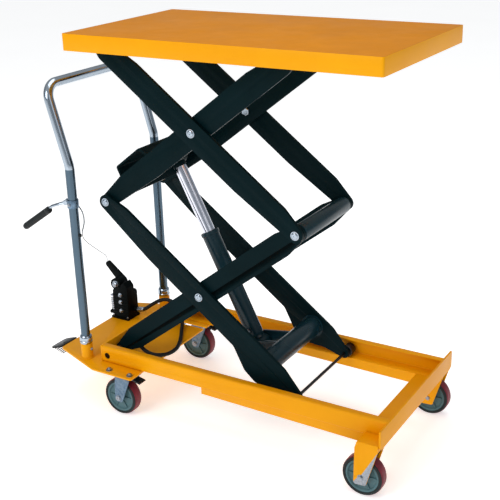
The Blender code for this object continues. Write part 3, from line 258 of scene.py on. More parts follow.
# Black baked enamel over rough castings.
CASTING = surface("black_enamel_casting", "#050B0C", "#020607", 30, 2.4, 0.25, (0.34, 0.5),
                  dust=("#0E1616", 0.25), gloss_level=0.05)
BLACK = surface("black_enamel_sheet", "#0E1415", "#090D0E", 80, 1.6, 0.04, (0.32, 0.44),
                gloss_level=0.3)
# Wrapped hose cover: matt, with the faint weave of the cloth it was cured in.
HOSE = surface("wrapped_hose_rubber", "#121719", "#0B0F10", 18, 0.9, 0.12, (0.5, 0.68),
               ior=1.52, gloss_level=0.25)
# Moulded PVC grip.
GRIP = surface("black_pvc_grip", "#11191B", "#0B1112", 20, 0.7, 0.08, (0.42, 0.58), ior=1.53,
               gloss_level=0.3)
# Moulded pedal pad and brake pad.
PAD_RUBBER = surface("ribbed_pad_rubber", "#14191A", "#0E1213", 20, 0.8, 0.1, (0.55, 0.7),
                     ior=1.52, gloss_level=0.25)
# Thin grey vinyl over the wire where it leaves the lever.
GREY_SHEATH = surface("grey_vinyl_sheath", "#8E979C", "#7C868C", 12, 0.8, 0.03, (0.4, 0.55))
GALVANISED_WIRE = surface("galvanised_wire", "#9CA3A8", "#7E858C", 4, 0.5, 0.02, (0.3, 0.45),
                          metallic=1.0)


# Mesh makers

def keep(mesh, name):
    made = bpy.data.objects.new(name, mesh)
    SCENE.collection.objects.link(made)
    return made


def tidy(mesh, reach=1e-6):
    work = bmesh.new()
    work.from_mesh(mesh)
    bmesh.ops.remove_doubles(work, verts=work.verts, dist=reach)
    bmesh.ops.recalc_face_normals(work, faces=work.faces)
    work.to_mesh(mesh)
    work.free()


def settled(maker):
    """The object with its curve or modifiers turned into a plain mesh."""
    bpy.context.view_layer.update()
    graph = bpy.context.evaluated_depsgraph_get()
    mesh = bpy.data.meshes.new_from_object(maker.evaluated_get(graph))
    mesh.transform(maker.matrix_world)
    tidy(mesh)
    name = maker.name
    bpy.data.objects.remove(maker, do_unlink=True)
    return keep(mesh, name)


def bevelled(made, width, segments=2, angle=35):
    step = made.modifiers.new("Bevel", "BEVEL")
    step.width = width
    step.segments = segments
    step.limit_method = "ANGLE"
    step.angle_limit = math.radians(angle)
    step.use_clamp_overlap = True
    return settled(made)


def lathe(profile, place, axis=ALONG_Y, steps=48, ring=False, name="lathe"):
    """Solid of revolution through (radius, height) points, from the top down its outer side."""
    turn = ALONG_Z.rotation_difference(Vector(axis)).to_matrix()
    centre = Vector(place)
    work = bmesh.new()
    rows = []
    for radius, height in profile:
        if radius < 1e-7:
            rows.append([work.verts.new(centre + turn @ Vector((0, 0, height)))])
            continue
        row = []
        for index in range(steps):
            angle = 2 * math.pi * (index + 0.5) / steps
            spot = Vector((radius * math.cos(angle), radius * math.sin(angle), height))
            row.append(work.verts.new(centre + turn @ spot))
        rows.append(row)
    pairs = list(zip(rows, rows[1:]))
    if ring:
        pairs.append((rows[-1], rows[0]))
    for upper, lower in pairs:
        for index in range(steps):
            after = (index + 1) % steps
            if len(upper) == 1 and len(lower) == 1:
                continue
            if len(upper) == 1:
                corners = (upper[0], lower[index], lower[after])
            elif len(lower) == 1:
                corners = (upper[after], upper[index], lower[0])
            else:
                corners = (upper[after], upper[index], lower[index], lower[after])
            work.faces.new(corners)
    bmesh.ops.recalc_face_normals(work, faces=work.faces)
    mesh = bpy.data.meshes.new(name)
    work.to_mesh(mesh)
    work.free()
    return keep(mesh, name)


def sweep(points, radius, sides=20, name="sweep", radii=None):
    """Round bar along points, with its rings turned as little as they can be."""
    points = [Vector(p) for p in points]
    work = bmesh.new()
    rows = []
    ahead = (points[1] - points[0]).normalized()
    side = ahead.orthogonal().normalized()
    for index, point in enumerate(points):
        before = points[max(index - 1, 0)]
        after = points[min(index + 1, len(points) - 1)]
        now = (after - before).normalized()
        side = ahead.rotation_difference(now) @ side
        ahead = now
        over = ahead.cross(side)
        size = radii[index] if radii else radius
        row = []
        for step in range(sides):
            angle = 2 * math.pi * step / sides
            row.append(work.verts.new(
                point + size * (side * math.cos(angle) + over * math.sin(angle))
            ))
        rows.append(row)
    for first, second in zip(rows, rows[1:]):
        for step in range(sides):
            after = (step + 1) % sides
            work.faces.new((first[step], first[after], second[after], second[step]))
    work.faces.new(list(reversed(rows[0])))
    work.faces.new(rows[-1])
    bmesh.ops.recalc_face_normals(work, faces=work.faces)
    mesh = bpy.data.meshes.new(name)
    work.to_mesh(mesh)
    work.free()
    return keep(mesh, name)


def rounded(corners, turn=math.radians(9)):
    """Outline through corners given as (u, v, radius), with each corner as an arc."""
    outline = []
    for index, (u, v, radius) in enumerate(corners):
        here = Vector((u, v))
        before = (Vector(corners[index - 1][:2]) - here).normalized()
        after = (Vector(corners[(index + 1) % len(corners)][:2]) - here).normalized()
        if radius == 0:
            outline.append((u, v))
            continue
        half_inside = before.angle(after) / 2
        reach = radius / math.tan(half_inside)
        centre = here + (before + after).normalized() * radius / math.sin(half_inside)
        start = here + before * reach - centre
        sweep_angle = start.angle_signed(here + after * reach - centre)
        count = max(1, math.ceil(abs(sweep_angle) / turn))
        for step in range(count + 1):
            angle = -sweep_angle * step / count
            outline.append((
                centre.x + start.x * math.cos(angle) - start.y * math.sin(angle),
                centre.y + start.x * math.sin(angle) + start.y * math.cos(angle),
            ))
    return outline


def plate(outline, holes, low, high, normal="Y", name="plate"):
    """Flat outline with holes, made thick from low to high along its normal."""
    curve = bpy.data.curves.new(name, "CURVE")
    curve.dimensions = "2D"
    curve.fill_mode = "BOTH"
    curve.extrude = abs(high - low) / 2
    for loop in [outline, *holes]:
        spline = curve.splines.new("POLY")
        spline.points.add(len(loop) - 1)
        for point, (u, v) in zip(spline.points, loop):
            point.co = (u, v, 0, 1)
        spline.use_cyclic_u = True
    maker = keep(curve, name)
    centre = (low + high) / 2
    if normal == "Y":
        maker.rotation_euler = (math.radians(90), 0, 0)
        maker.location = (0, centre, 0)
    elif normal == "X":
        maker.rotation_euler = (math.radians(90), 0, math.radians(90))
        maker.location = (centre, 0, 0)
    else:
        maker.location = (0, 0, centre)
    return settled(maker)


def block(low, high, edge=0.001, name="block"):
    work = bmesh.new()
    bmesh.ops.create_cube(work, size=1)
    size = Vector(high) - Vector(low)
    bmesh.ops.scale(work, vec=size, verts=work.verts)
    bmesh.ops.translate(work, vec=(Vector(low) + Vector(high)) / 2, verts=work.verts)
    mesh = bpy.data.meshes.new(name)
    work.to_mesh(mesh)
    work.free()
    return bevelled(keep(mesh, name), edge, 3)


def merged(name, *objects):
    """One object from several, with each one's own material."""
    work = bmesh.new()
    mesh = bpy.data.meshes.new(name)
    for thing in objects:
        before = len(work.faces)
        work.from_mesh(thing.data)
        work.faces.ensure_lookup_table()
        if thing.data.materials:
            paint = thing.data.materials[0]
            if paint.name not in [m.name for m in mesh.materials]:
                mesh.materials.append(paint)
            slot_index = [m.name for m in mesh.materials].index(paint.name)
            for face in work.faces[before:]:
                face.material_index = slot_index
    work.to_mesh(mesh)
    work.free()
    for thing in objects:
        bpy.data.objects.remove(thing, do_unlink=True)
    return keep(mesh, name)


def painted(thing, paint):
    thing.data.materials.clear()
    thing.data.materials.append(paint)
    return thing


def place(name, thing, paint, body, *nodes, slot=None, sharp=32):
    """Name, paint and smooth a piece, hang it on its body, and hide what it stands for."""
    thing.name = name
    thing.data.name = name
    if paint is not None:
        painted(thing, paint)
    thing.data.shade_smooth()
    thing.data.set_sharp_from_angle(angle=math.radians(sharp))
    if body:
        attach(thing, body)
    if nodes:
        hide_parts(*nodes)
    return thing


def refined(node, paint, edge, segments=2, slot=None):
    """The CAD piece with eased edges, standing in for its plain one."""
    mesh = NODES[node].data.copy()
    work = bmesh.new()
    work.from_mesh(mesh)
    bmesh.ops.remove_doubles(work, verts=work.verts, dist=2e-6)
    bmesh.ops.dissolve_limit(
        work, angle_limit=math.radians(1.2), verts=work.verts, edges=work.edges
    )
    work.to_mesh(mesh)
    work.free()
    thing = bevelled(keep(mesh, node + "_finished"), edge, segments)
    body = NODES[node]["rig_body"]
    return place(thing.name, thing, paint, body, node, slot=slot)


def hex_head(place_at, axis, across, height, washer=0.0, name="bolt"):
    """Hexagon head or nut with chamfered corners, on a washer, with a short thread end."""
    radius = across / math.sqrt(3)
    base = Vector(place_at)
    direction = Vector(axis)
    parts = []
    lift = 0.0
    if washer:
        parts.append(lathe(
            [(0, 0.0012), (washer * 0.96, 0.0012), (washer, 0.0008), (washer, 0), (0, 0)],
            base, direction, 28,
        ))
        lift = 0.0012
    parts.append(lathe(
        [(0, height), (radius * 0.80, height), (radius, height * 0.82), (radius, 0), (0, 0)],
        base + direction * lift, direction, 6,
    ))
    parts.append(lathe(
        [(0, height + 0.0012), (radius * 0.4, height + 0.0012), (radius * 0.5, height),
         (radius * 0.5, height - 0.001), (0, height - 0.001)],
        base + direction * lift, direction, 20,
    ))
    return merged(name, *parts)


def smooth_path(stations, spacing):
    """Points at an even spacing along a smooth curve through the stations."""
    knots = [Vector(station) for station in stations]
    ends = [2 * knots[0] - knots[1], *knots, 2 * knots[-1] - knots[-2]]
    fine = []
    for a, b, c, d in zip(ends, ends[1:], ends[2:], ends[3:]):
        for step in range(12):
            t = step / 12
            fine.append(
                0.5 * (2 * b + (c - a) * t + (2 * a - 5 * b + 4 * c - d) * t ** 2
                       + (3 * b - a - 3 * c + d) * t ** 3)
            )
    fine.append(knots[-1])
    total = sum((q - p).length for p, q in zip(fine, fine[1:]))
    count = max(2, round(total / spacing))
    points = [fine[0]]
    travelled = 0.0
    for p, q in zip(fine, fine[1:]):
        step = (q - p).length
        while len(points) < count and travelled + step >= total * len(points) / count:
            share = (total * len(points) / count - travelled) / step
            points.append(p.lerp(q, share))
        travelled += step
    points.append(fine[-1])
    return points


# Places taken from the CAD pieces

BASE = middle("base_pivot_shaft")
LOW = middle("low_pin_right")
RIGHT = middle("joint_shaft")
ARM_ANGLE = math.atan2(RIGHT.z - BASE.z, RIGHT.x - BASE.x)
COSINE = math.cos(ARM_ANGLE)
SINE = math.sin(ARM_ANGLE)
HALF_SPAN = (Vector((RIGHT.x, RIGHT.z)) - Vector((BASE.x, BASE.z))).length / 2
DECK_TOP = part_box("cross_plate")[0].z - 0.0003
DECK_BOTTOM = DECK_TOP - 0.005


# Hose and cable

HOSE_RADIUS = 0.006
HOSE_Y = -0.119
HOSE_UNION = 0.140
PORT = Vector((BASE.x - 0.1097, 0.096, DECK_TOP + 0.0303))


def on_rising(along, across):
    return (LOW.x + along * COSINE - across * SINE, HOSE_Y, LOW.z + along * SINE + across * COSINE)


def on_falling(along, across, aside=0.0):
    return (
        LOW.x + along * COSINE + across * SINE, HOSE_Y + aside,
        LOW.z - along * SINE + across * COSINE,
    )


def make_hoses():
    x = BASE.x
    floor = DECK_TOP + HOSE_RADIUS + 0.002
    union = HOSE_UNION - HALF_SPAN
    first = smooth_path([
        PORT, (PORT.x + 0.015, PORT.y, PORT.z), (x - 0.075, 0.100, 0.193), (x - 0.058, 0.106, 0.206),
        (x - 0.033, 0.111, 0.222), (x - 0.007, 0.113, 0.231), (x + 0.020, 0.112, 0.229),
        (x + 0.043, 0.110, 0.214), (x + 0.056, 0.107, 0.190), (x + 0.064, 0.098, floor + 0.008),
        (x + 0.080, 0.070, floor), (x + 0.104, 0.032, floor), (x + 0.126, -0.008, floor),
        (x + 0.140, -0.048, floor), (x + 0.136, -0.088, floor + 0.001),
        (x + 0.112, HOSE_Y + 0.006, floor + 0.004), (x + 0.082, HOSE_Y, floor + 0.012),
        (x + 0.060, HOSE_Y, floor + 0.030), (x + 0.062, HOSE_Y, floor + 0.052),
        on_rising(union - 0.034, 0.002), on_rising(union - 0.016, 0), on_rising(union, 0),
    ], 0.006)
    turn_z = LOW.z - 0.026
    foot = Vector((0.095954, 0, 0.221286))
    direction = Vector((-0.444524, 0, 0.895767))
    side_port = foot + direction * 0.050 - ALONG_Y * 0.0258
    second = smooth_path([
        on_rising(union + 0.0003, 0), on_rising(union + 0.016, 0), on_rising(-0.130, -0.002),
        on_rising(-0.070, -0.012), (LOW.x - 0.032, HOSE_Y, turn_z - 0.008),
        (LOW.x - 0.015, HOSE_Y, turn_z), (LOW.x + 0.015, HOSE_Y, turn_z),
        on_falling(0.045, -0.016), on_falling(0.080, -0.014), on_falling(0.130, -0.016),
        on_falling(0.165, -0.032, 0.008), (side_port.x + 0.016, -0.080, side_port.z + 0.005),
        (side_port.x + 0.002, -0.048, side_port.z + 0.001), side_port,
    ], 0.006)

    def ferrule(points, at_end, name, body):
        spot = points[-1] if at_end else points[0]
        inward = (points[-5] - spot if at_end else points[4] - spot).normalized()
        crimp = [(0, 0.024), (0.0064, 0.024), (0.0078, 0.022)]
        for ring in range(4):
            height = 0.020 - ring * 0.003
            crimp += [(0.0080, height), (0.0072, height - 0.0012), (0.0080, height - 0.0024)]
        crimp += [(0.0080, 0.006), (0.0066, 0.005), (0.0066, 0.0), (0, 0.0)]
        collar = painted(lathe(crimp, spot, inward, 28), BOLT_ZINC)
        nut = painted(lathe(
            [(0, 0.0075), (0.0078, 0.0075), (0.0090, 0.0062), (0.0090, 0.0008), (0.0080, 0),
             (0, 0)], spot, inward, 6), BOLT_ZINC)
        return place(name, merged(name, collar, nut), None, body, slot="bare_steel")

    pump_hose = place("pump_hose", sweep(first, HOSE_RADIUS, 20), HOSE, None,
                      slot="black_rubber", sharp=60)
    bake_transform(pump_hose)
    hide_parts("hose_deck")
    ferrule(first, False, "pump_ferrule", "root")
    ferrule(first, True, "union_ferrule_low", "inner_lower")
    arm_hose = place("arm_hose", sweep(second, HOSE_RADIUS, 20), HOSE, None,
                     slot="black_rubber", sharp=60)
    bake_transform(arm_hose)
    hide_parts("hose_arm", "hose_foot")
    ferrule(second, False, "union_ferrule_high", "inner_lower")
    ferrule(second, True, "barrel_ferrule", "outer_lower")


def make_cable():
    x = BASE.x - 0.0785
    lever_z = middle("lever_bracket").z
    stations = [
        (x - 0.004, -0.2 + 0.0138 + 0.0055, lever_z - 0.006),
        (x + 0.012, -0.178, lever_z - 0.030), (x + 0.016, -0.178, lever_z - 0.060),
        (x + 0.008, -0.181, lever_z - 0.095), (x - 0.006, -0.155, lever_z - 0.130),
        (x - 0.050, -0.050, lever_z - 0.205), (x - 0.100, 0.040, lever_z - 0.262),
        (BASE.x - 0.225, 0.098, DECK_TOP + 0.1808),
    ]
    points = smooth_path(stations, 0.006)
    cable = place("release_wire", sweep(points, 0.0012, 10), GALVANISED_WIRE, "root",
                  "release_cable", slot="bare_steel", sharp=60)
    sheath_points = points[1:16]
    sheath = place(
        "wire_sheath", sweep(sheath_points, 0.0018, 14), GREY_SHEATH, "root",
        slot="black_rubber", sharp=60,
    )


make_hoses()
make_cable()


# Lift frame

def finish_frame():
    for side, sign in SIDES:
        refined("rail_" + side, YELLOW, 0.0014, slot="yellow_paint")
        fork = refined("fork_" + side, YELLOW, 0.0012, slot="yellow_paint")
        fork.data.materials.append(BOLT_ZINC)
        axle = middle("fixed_hub_" + side)
        for face in fork.data.polygons:
            away = math.hypot(face.center.x - axle.x, face.center.z - axle.z)
            face.material_index = int(away < 0.0068)
    refined("end_member", YELLOW, 0.0010, slot="yellow_paint")
    refined("cross_plate", YELLOW, 0.0008, slot="yellow_paint")
    refined("deck_plate", YELLOW, 0.0008, slot="yellow_paint")
    refined("base_pivot_shaft", STEEL, 0.0010, slot="bare_steel")
    parts = []
    for side, sign in SIDES:
        swivel_x = BASE.x + 0.0717
        for along in (-0.0375, 0.0375):
            spot = (swivel_x + along, sign * 0.2375, DECK_TOP)
            parts.append(hex_head(spot, ALONG_Z, 0.013, 0.0055, 0.0105))
            parts.append(hex_head((spot[0], spot[1], DECK_BOTTOM), -ALONG_Z, 0.013, 0.0062,
                                  0.0105))
            parts.append(hex_head((swivel_x + along, sign * 0.150, DECK_BOTTOM), -ALONG_Z,
                                  0.013, 0.0062, 0.0105))
        wheel = middle("fixed_hub_" + side)
        outer = abs(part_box("fork_" + side)[0 if sign < 0 else 1].y) - 0.0045
        parts.append(hex_head((wheel.x, sign * outer, wheel.z), ALONG_Y * sign, 0.013, 0.0020,
                              0.0095))
        # Set screw in each handle socket.
        post = Vector((BASE.x - 0.0785, sign * 0.2, DECK_TOP + 0.030))
        parts.append(hex_head(post + ALONG_X * 0.0172, ALONG_X, 0.008, 0.0045))
        # Round plug over the end of the base pivot's shaft.
        plug = lathe(
            [(0, 0.0006), (0.0066, 0.0006), (0.0072, 0.0012), (0.0086, 0.0008), (0.0090, 0.0),
             (0, 0.0)], (BASE.x, sign * 0.2001, BASE.z), ALONG_Y * sign, 32,
        )
        place("pivot_plug_" + side, plug, OXIDE, "root", slot="bare_steel")
    place("frame_bolts", merged("frame_bolts", *parts), BOLT_ZINC, "root", slot="bare_steel")
    # Weld beads along the shelf and round the handle sockets.
    beads = []
    for side, sign in SIDES:
        post = Vector((BASE.x - 0.0785, sign * 0.2, DECK_TOP))
        ring = []
        for index in range(73):
            angle = 2 * math.pi * index / 72
            ring.append(post + Vector((0.0185 * math.cos(angle), 0.0185 * math.sin(angle), 0.0008)))
        radii = [0.0019 + 0.0004 * math.sin(index * 2.1) for index in range(73)]
        beads.append(sweep(ring, 0.002, 8, radii=radii))
    end_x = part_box("end_member")[1].x - 0.0055
    line = [Vector((end_x, -0.15 + 0.30 * index / 120, 0.1575)) for index in range(121)]
    radii = [0.0022 + 0.0004 * math.sin(index * 2.3) for index in range(121)]
    beads.append(sweep(line, 0.002, 8, radii=radii))
    place("frame_welds", merged("frame_welds", *beads), YELLOW, "root", slot="yellow_paint",
          sharp=60)


def finish_wheels():
    for prefix in ("fixed", "caster"):
        for side, _ in SIDES:
            hub_node = prefix + "_hub_" + side
            tyre_node = prefix + "_tyre_" + side
            centre = middle(hub_node)
            centre.z = 0.0575 * math.cos(math.pi / 34)
            body = NODES[hub_node]["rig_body"]
            radius = 0.0572
            half = 0.0175
            rim = 0.0475
            tread = [
                (rim + 0.0015, half - 0.0035), (radius - 0.0030, half - 0.0035),
                (radius - 0.0012, half - 0.0042), (radius - 0.0002, half - 0.0065),
                (radius, half - 0.010), (radius, 0.010 - half), (radius - 0.0002, 0.0065 - half),
                (radius - 0.0012, 0.0042 - half), (radius - 0.0030, 0.0035 - half),
                (rim + 0.0015, 0.0035 - half),
            ]
            place(tyre_node + "_tread", lathe(tread, centre, ALONG_Y, 96, ring=True), TREAD,
                  body, tyre_node, slot="tyre")
            shoulders = []
            for face in (-1, 1):
                shoulder = [
                    (rim - 0.0004, half - 0.0010), (rim + 0.0014, half - 0.0001),
                    (radius - 0.0052, half - 0.0001), (radius - 0.0032, half - 0.0008),
                    (radius - 0.0020, half - 0.0034), (rim - 0.0004, half - 0.0034),
                ]
                shoulders.append(lathe(shoulder, centre, ALONG_Y * face, 96, ring=True))
            place(tyre_node + "_shoulders", merged("shoulders", *shoulders), SHOULDER, body,
                  slot="tyre")
            bore = 0.0063
            profile = [
                (bore, half - 0.0012), (0.0125, half - 0.0012), (0.0142, half - 0.0022),
                (0.0150, half - 0.0068), (0.0170, half - 0.0078), (0.0350, half - 0.0078),
                (0.0385, half - 0.0064), (0.0405, half - 0.0030), (0.0420, half - 0.0018),
                (0.0462, half - 0.0018), (0.0470, half - 0.0030), (0.0470, 0.0030 - half),
                (0.0462, 0.0018 - half), (0.0420, 0.0018 - half), (0.0405, 0.0030 - half),
                (0.0385, 0.0064 - half), (0.0350, 0.0078 - half), (0.0170, 0.0078 - half),
                (0.0150, 0.0068 - half), (0.0142, 0.0022 - half), (0.0125, 0.0012 - half),
                (bore, 0.0012 - half),
            ]
            pieces = [lathe(profile, centre, ALONG_Y, 72, ring=True)]
            for face in (-1, 1):
                for index in range(6):
                    angle = 2 * math.pi * index / 6
                    spoke = block(
                        (0.0150, -0.0016, half - 0.0088), (0.0392, 0.0016, half - 0.0045), 0.0006
                    )
                    turn = ALONG_Z.rotation_difference(ALONG_Y * face).to_matrix().to_4x4()
                    spin = Matrix.Rotation(angle, 4, "Z")
                    spoke.data.transform(Matrix.Translation(centre) @ turn @ spin)
                    pieces.append(spoke)
            place(hub_node + "_moulded", merged("hub", *pieces), HUB_GREY, body, hub_node,
                  slot="wheel_centre")
            caps = []
            for face in (-1, 1):
                caps.append(lathe(
                    [(0.0066, half - 0.0006), (0.0102, half - 0.0006), (0.0108, half - 0.0012),
                     (0.0066, half - 0.0012)], centre, ALONG_Y * face, 40, ring=True))
            place(hub_node + "_bearing_shields", merged("shields", *caps), BOLT_ZINC, body,
                  slot="bare_steel")


def finish_casters():
    for side, sign in SIDES:
        fork = "caster_fork_" + side
        body = NODES[fork]["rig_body"]
        refined(fork, ZINC, 0.0012, 3, slot="zinc_plate")
        low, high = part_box(fork)
        wheel = middle("caster_hub_" + side)
        axis = Vector((BASE.x + 0.0717, sign * 0.203, high.z))
        nuts = []
        for face in (-1, 1):
            spot = (wheel.x, axis.y + face * 0.0246, wheel.z)
            nuts.append(hex_head(spot, ALONG_Y * face, 0.013, 0.0032, 0.0090))
        place("caster_axle_nuts_" + side, merged("nuts", *nuts), BOLT_ZINC, body,
              slot="bare_steel")
        race = [
            (0.0, -0.0003), (0.0255, -0.0003), (0.0268, -0.0012), (0.0268, -0.0040),
            (0.0250, -0.0050), (0.0, -0.0050),
        ]
        place("caster_race_" + side, lathe(race, axis, ALONG_Z, 64), ZINC, body,
              slot="zinc_plate")
        seat = [
            (0.0310, 0.0115), (0.0330, 0.0102), (0.0330, 0.0070), (0.0322, 0.0012),
            (0.0312, 0.0006), (0.0, 0.0006), (0.0, 0.0115),
        ]
        place("caster_seat_" + side, lathe(seat, axis, ALONG_Z, 64), ZINC, "root",
              slot="zinc_plate")
        plate_piece = plate(
            rounded([
                (axis.x - 0.050, axis.y - 0.047, 0.008), (axis.x + 0.050, axis.y - 0.047, 0.008),
                (axis.x + 0.050, axis.y + 0.047, 0.008), (axis.x - 0.050, axis.y + 0.047, 0.008),
            ]),
            [], DECK_BOTTOM - 0.0036, DECK_BOTTOM - 0.0003, "Z",
        )
        place("caster_top_plate_" + side, bevelled(plate_piece, 0.0006), ZINC, "root",
              slot="zinc_plate")
        brake = "caster_brake_" + side
        refined(brake, BLACK, 0.0012, 3, slot="black_enamel")
        low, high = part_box(brake)
        ribs = []
        for index in range(5):
            x = high.x - 0.006 - index * 0.0045
            top = low.z + 0.0070 + index * 0.0011
            ribs.append(block((x - 0.0011, axis.y - 0.0115, top - 0.0030),
                              (x + 0.0011, axis.y + 0.0115, top), 0.0004))
        place("brake_ribs_" + side, merged("ribs", *ribs), PAD_RUBBER,
              NODES[brake]["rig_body"], slot="black_enamel")


# Scissor

def finish_scissor():
    for pair in ("inner_lower", "outer_lower", "inner_upper", "outer_upper"):
        for side, sign in SIDES:
            refined(pair + "_arm_" + side, DARK, 0.0011, 3, slot="green_black_paint")
    refined("torsion_box", DARK, 0.0010, slot="green_black_paint")
    # The tubes take the enamel copy whose lighter colour is painted sheen.
    for node in ("joint_tube", "cylinder_carrier"):
        refined(node, TUBE_DARK_PAINTED_SHEEN, 0.0010, slot="green_black_paint")
    # Welded flanges where the cross tube meets the outer arms.
    along = 0.262
    tube_x = LOW.x + along * COSINE - 0.008 * SINE
    tube_z = LOW.z - along * SINE - 0.008 * COSINE
    flanges = []
    for side, sign in SIDES:
        ring = [(0.0301, 0.0), (0.0345, 0.0), (0.0350, -0.0005), (0.0350, -0.0018),
                (0.0301, -0.0018)]
        flanges.append(lathe(ring, (tube_x, sign * 0.1404, tube_z), ALONG_Y * sign, 56,
                             ring=True))
    place("tube_flanges", merged("flanges", *flanges), TUBE_DARK_PAINTED_SHEEN, "outer_lower",
          slot="green_black_paint")
    refined("table_shaft", STEEL, 0.0010, slot="bare_steel")
    for axle in ("lower_axle", "upper_axle"):
        refined(axle, STEEL, 0.0006, slot="bare_steel")
    for name in ("low_pin", "high_pin", "left_pin"):
        for side, sign in SIDES:
            node = name + "_" + side
            low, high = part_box(node)
            centre = middle(node)
            inner = min(abs(low.y), abs(high.y))
            outer = max(abs(low.y), abs(high.y))
            finish_pin(node, centre, sign, inner, outer, NODES[node]["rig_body"])
    low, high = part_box("joint_shaft")
    shaft = lathe([(0, 0.150), (0.0079, 0.150), (0.0079, -0.150), (0, -0.150)], RIGHT,
                  ALONG_Y, 40)
    place("joint_shaft_core", shaft, CHROME, NODES["joint_shaft"]["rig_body"], "joint_shaft",
          slot="chrome")
    for side, sign in SIDES:
        finish_pin_head("joint_shaft_head_" + side, RIGHT, sign, 0.1513, high.y,
                        NODES["joint_shaft"]["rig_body"])
    for node in ("lower_roller_right", "lower_roller_left", "upper_roller_right",
                 "upper_roller_left"):
        low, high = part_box(node)
        centre = middle(node)
        half = (high.y - low.y) / 2
        radius = (high.z - low.z) / 2 - 0.0001
        profile = [
            (0.0048, half - 0.002), (0.0090, half - 0.002), (0.0094, half - 0.0004),
            (radius - 0.0014, half - 0.0001), (radius, half - 0.0016), (radius, 0.0016 - half),
            (radius - 0.0014, 0.0001 - half), (0.0094, 0.0004 - half), (0.0090, 0.002 - half),
            (0.0048, 0.002 - half),
        ]
        place(node + "_turned", lathe(profile, centre, ALONG_Y, 56, ring=True), STEEL,
              NODES[node]["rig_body"], node, slot="bare_steel")


def finish_pin(node, centre, sign, inner, outer, body):
    """Bolt-like pivot pin: nut inside, head and washer outside."""
    shank = lathe([(0, outer - 0.002), (0.0079, outer - 0.002), (0.0079, inner + 0.001),
                   (0, inner + 0.001)], (centre.x, 0, centre.z), ALONG_Y * sign, 36)
    nut = lathe([(0, inner), (0.0112, inner), (0.0124, inner + 0.0010), (0.0124, inner + 0.0059),
                 (0, inner + 0.0059)][::-1], (centre.x, 0, centre.z), ALONG_Y * sign, 6)
    place(node + "_shank", merged("shank", shank, nut), CHROME, body, node, slot="chrome")
    finish_pin_head(node + "_head", centre, sign, outer - 0.0052, outer, body)


def finish_pin_head(name, centre, sign, base, outer, body):
    washer = [
        (0, base + 0.0020), (0.0118, base + 0.0020), (0.0124, base + 0.0014), (0.0124, base),
        (0, base),
    ]
    head = [
        (0.0018, outer - 0.0014), (0.0022, outer - 0.0004), (0.0050, outer - 0.0001),
        (0.0076, outer - 0.0006), (0.0090, outer - 0.0018), (0.0094, base + 0.0024),
        (0.0086, base + 0.0021), (0, base + 0.0021), (0, outer - 0.0014),
    ]
    at = (centre.x, 0, centre.z)
    parts = [
        lathe(washer, at, ALONG_Y * sign, 48),
        lathe(head[:-1], at, ALONG_Y * sign, 48),
        lathe([(0, outer - 0.0016), (0.0018, outer - 0.0014), (0.0018, outer - 0.003),
               (0, outer - 0.003)], at, ALONG_Y * sign, 24),
    ]
    place(name, merged(name, *parts), CHROME, body, slot="chrome")


def finish_cylinder():
    foot = Vector((0.095954, 0, 0.221286))
    direction = Vector((-0.444524, 0, 0.895767))
    body = NODES["cylinder_barrel"]["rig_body"]
    barrel = [
        (0.0188, 0.3617), (0.0262, 0.3617), (0.0273, 0.3605), (0.0273, 0.3520), (0.0262, 0.3506),
        (0.0252, 0.3500), (0.0252, 0.0400), (0.0246, 0.0320), (0.0225, 0.0250), (0.0180, 0.0195),
        (0.0, 0.0185), (0.0, 0.050), (0.0188, 0.050),
    ]
    eye = lathe([(0.0086, 0.0320), (0.0204, 0.0320), (0.0218, 0.0306), (0.0218, -0.0306),
                 (0.0204, -0.0320), (0.0086, -0.0320)], foot, ALONG_Y, 48, ring=True)
    tube = lathe(barrel, foot, direction, 72, ring=True)
    # The barrel takes the enamel copy whose lighter colour is painted sheen.
    place("barrel_tube", merged("barrel", tube, eye), TUBE_DARK_PAINTED_SHEEN, body, "cylinder_barrel",
          slot="green_black_paint")
    wiper = lathe([(0.0183, 0.3619), (0.0222, 0.3619), (0.0222, 0.3600), (0.0183, 0.3600)],
                  foot, direction, 64, ring=True)
    place("rod_wiper", wiper, HOSE, body, slot="black_rubber")
    boss_place = foot + direction * 0.050 - ALONG_Y * 0.0240
    boss = lathe([(0, 0.0016), (0.0086, 0.0016), (0.0094, 0.0008), (0.0094, -0.004), (0, -0.004)],
                 boss_place, -ALONG_Y, 32)
    place("barrel_port_boss", boss, DARK, body, slot="green_black_paint")
    eye_place = Vector((-0.167759, 0, 0.752699))
    length = 0.370
    rod = lathe([(0, -0.012), (0.0178, -0.012), (0.0178, 0.002 - length), (0.0166, 0.0008 - length),
                 (0, 0.0008 - length)], eye_place, direction, 72)
    rod_body = NODES["piston_rod"]["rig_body"]
    place("rod_shaft", rod, ROD_CHROME, rod_body, "piston_rod", slot="chrome")
    knuckle = lathe([(0, 0.0298), (0.0186, 0.0298), (0.0198, 0.0286), (0.0198, -0.0286),
                     (0.0186, -0.0298), (0, -0.0298)], eye_place, ALONG_Y, 48)
    collar = lathe([(0, -0.010), (0.0190, -0.010), (0.0198, -0.012), (0.0198, -0.026),
                    (0.0188, -0.028), (0, -0.028)], eye_place, direction, 48)
    place("rod_knuckle", merged("knuckle", knuckle, collar), DARK, rod_body,
          slot="green_black_paint")


# Table

def finish_table():
    tray = refined("table_tray", YELLOW, 0.0011, slot="yellow_paint")
    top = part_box("table_tray")[1].z
    # Painted shade: the upward faces of the top take the darker copy of the enamel.
    tray.data.materials.append(YELLOW_PAINTED_TOP_SHADE)
    for face in tray.data.polygons:
        face.material_index = int(face.center.z > top - 0.0004 and face.normal.z > 0.9)


# Handle and controls

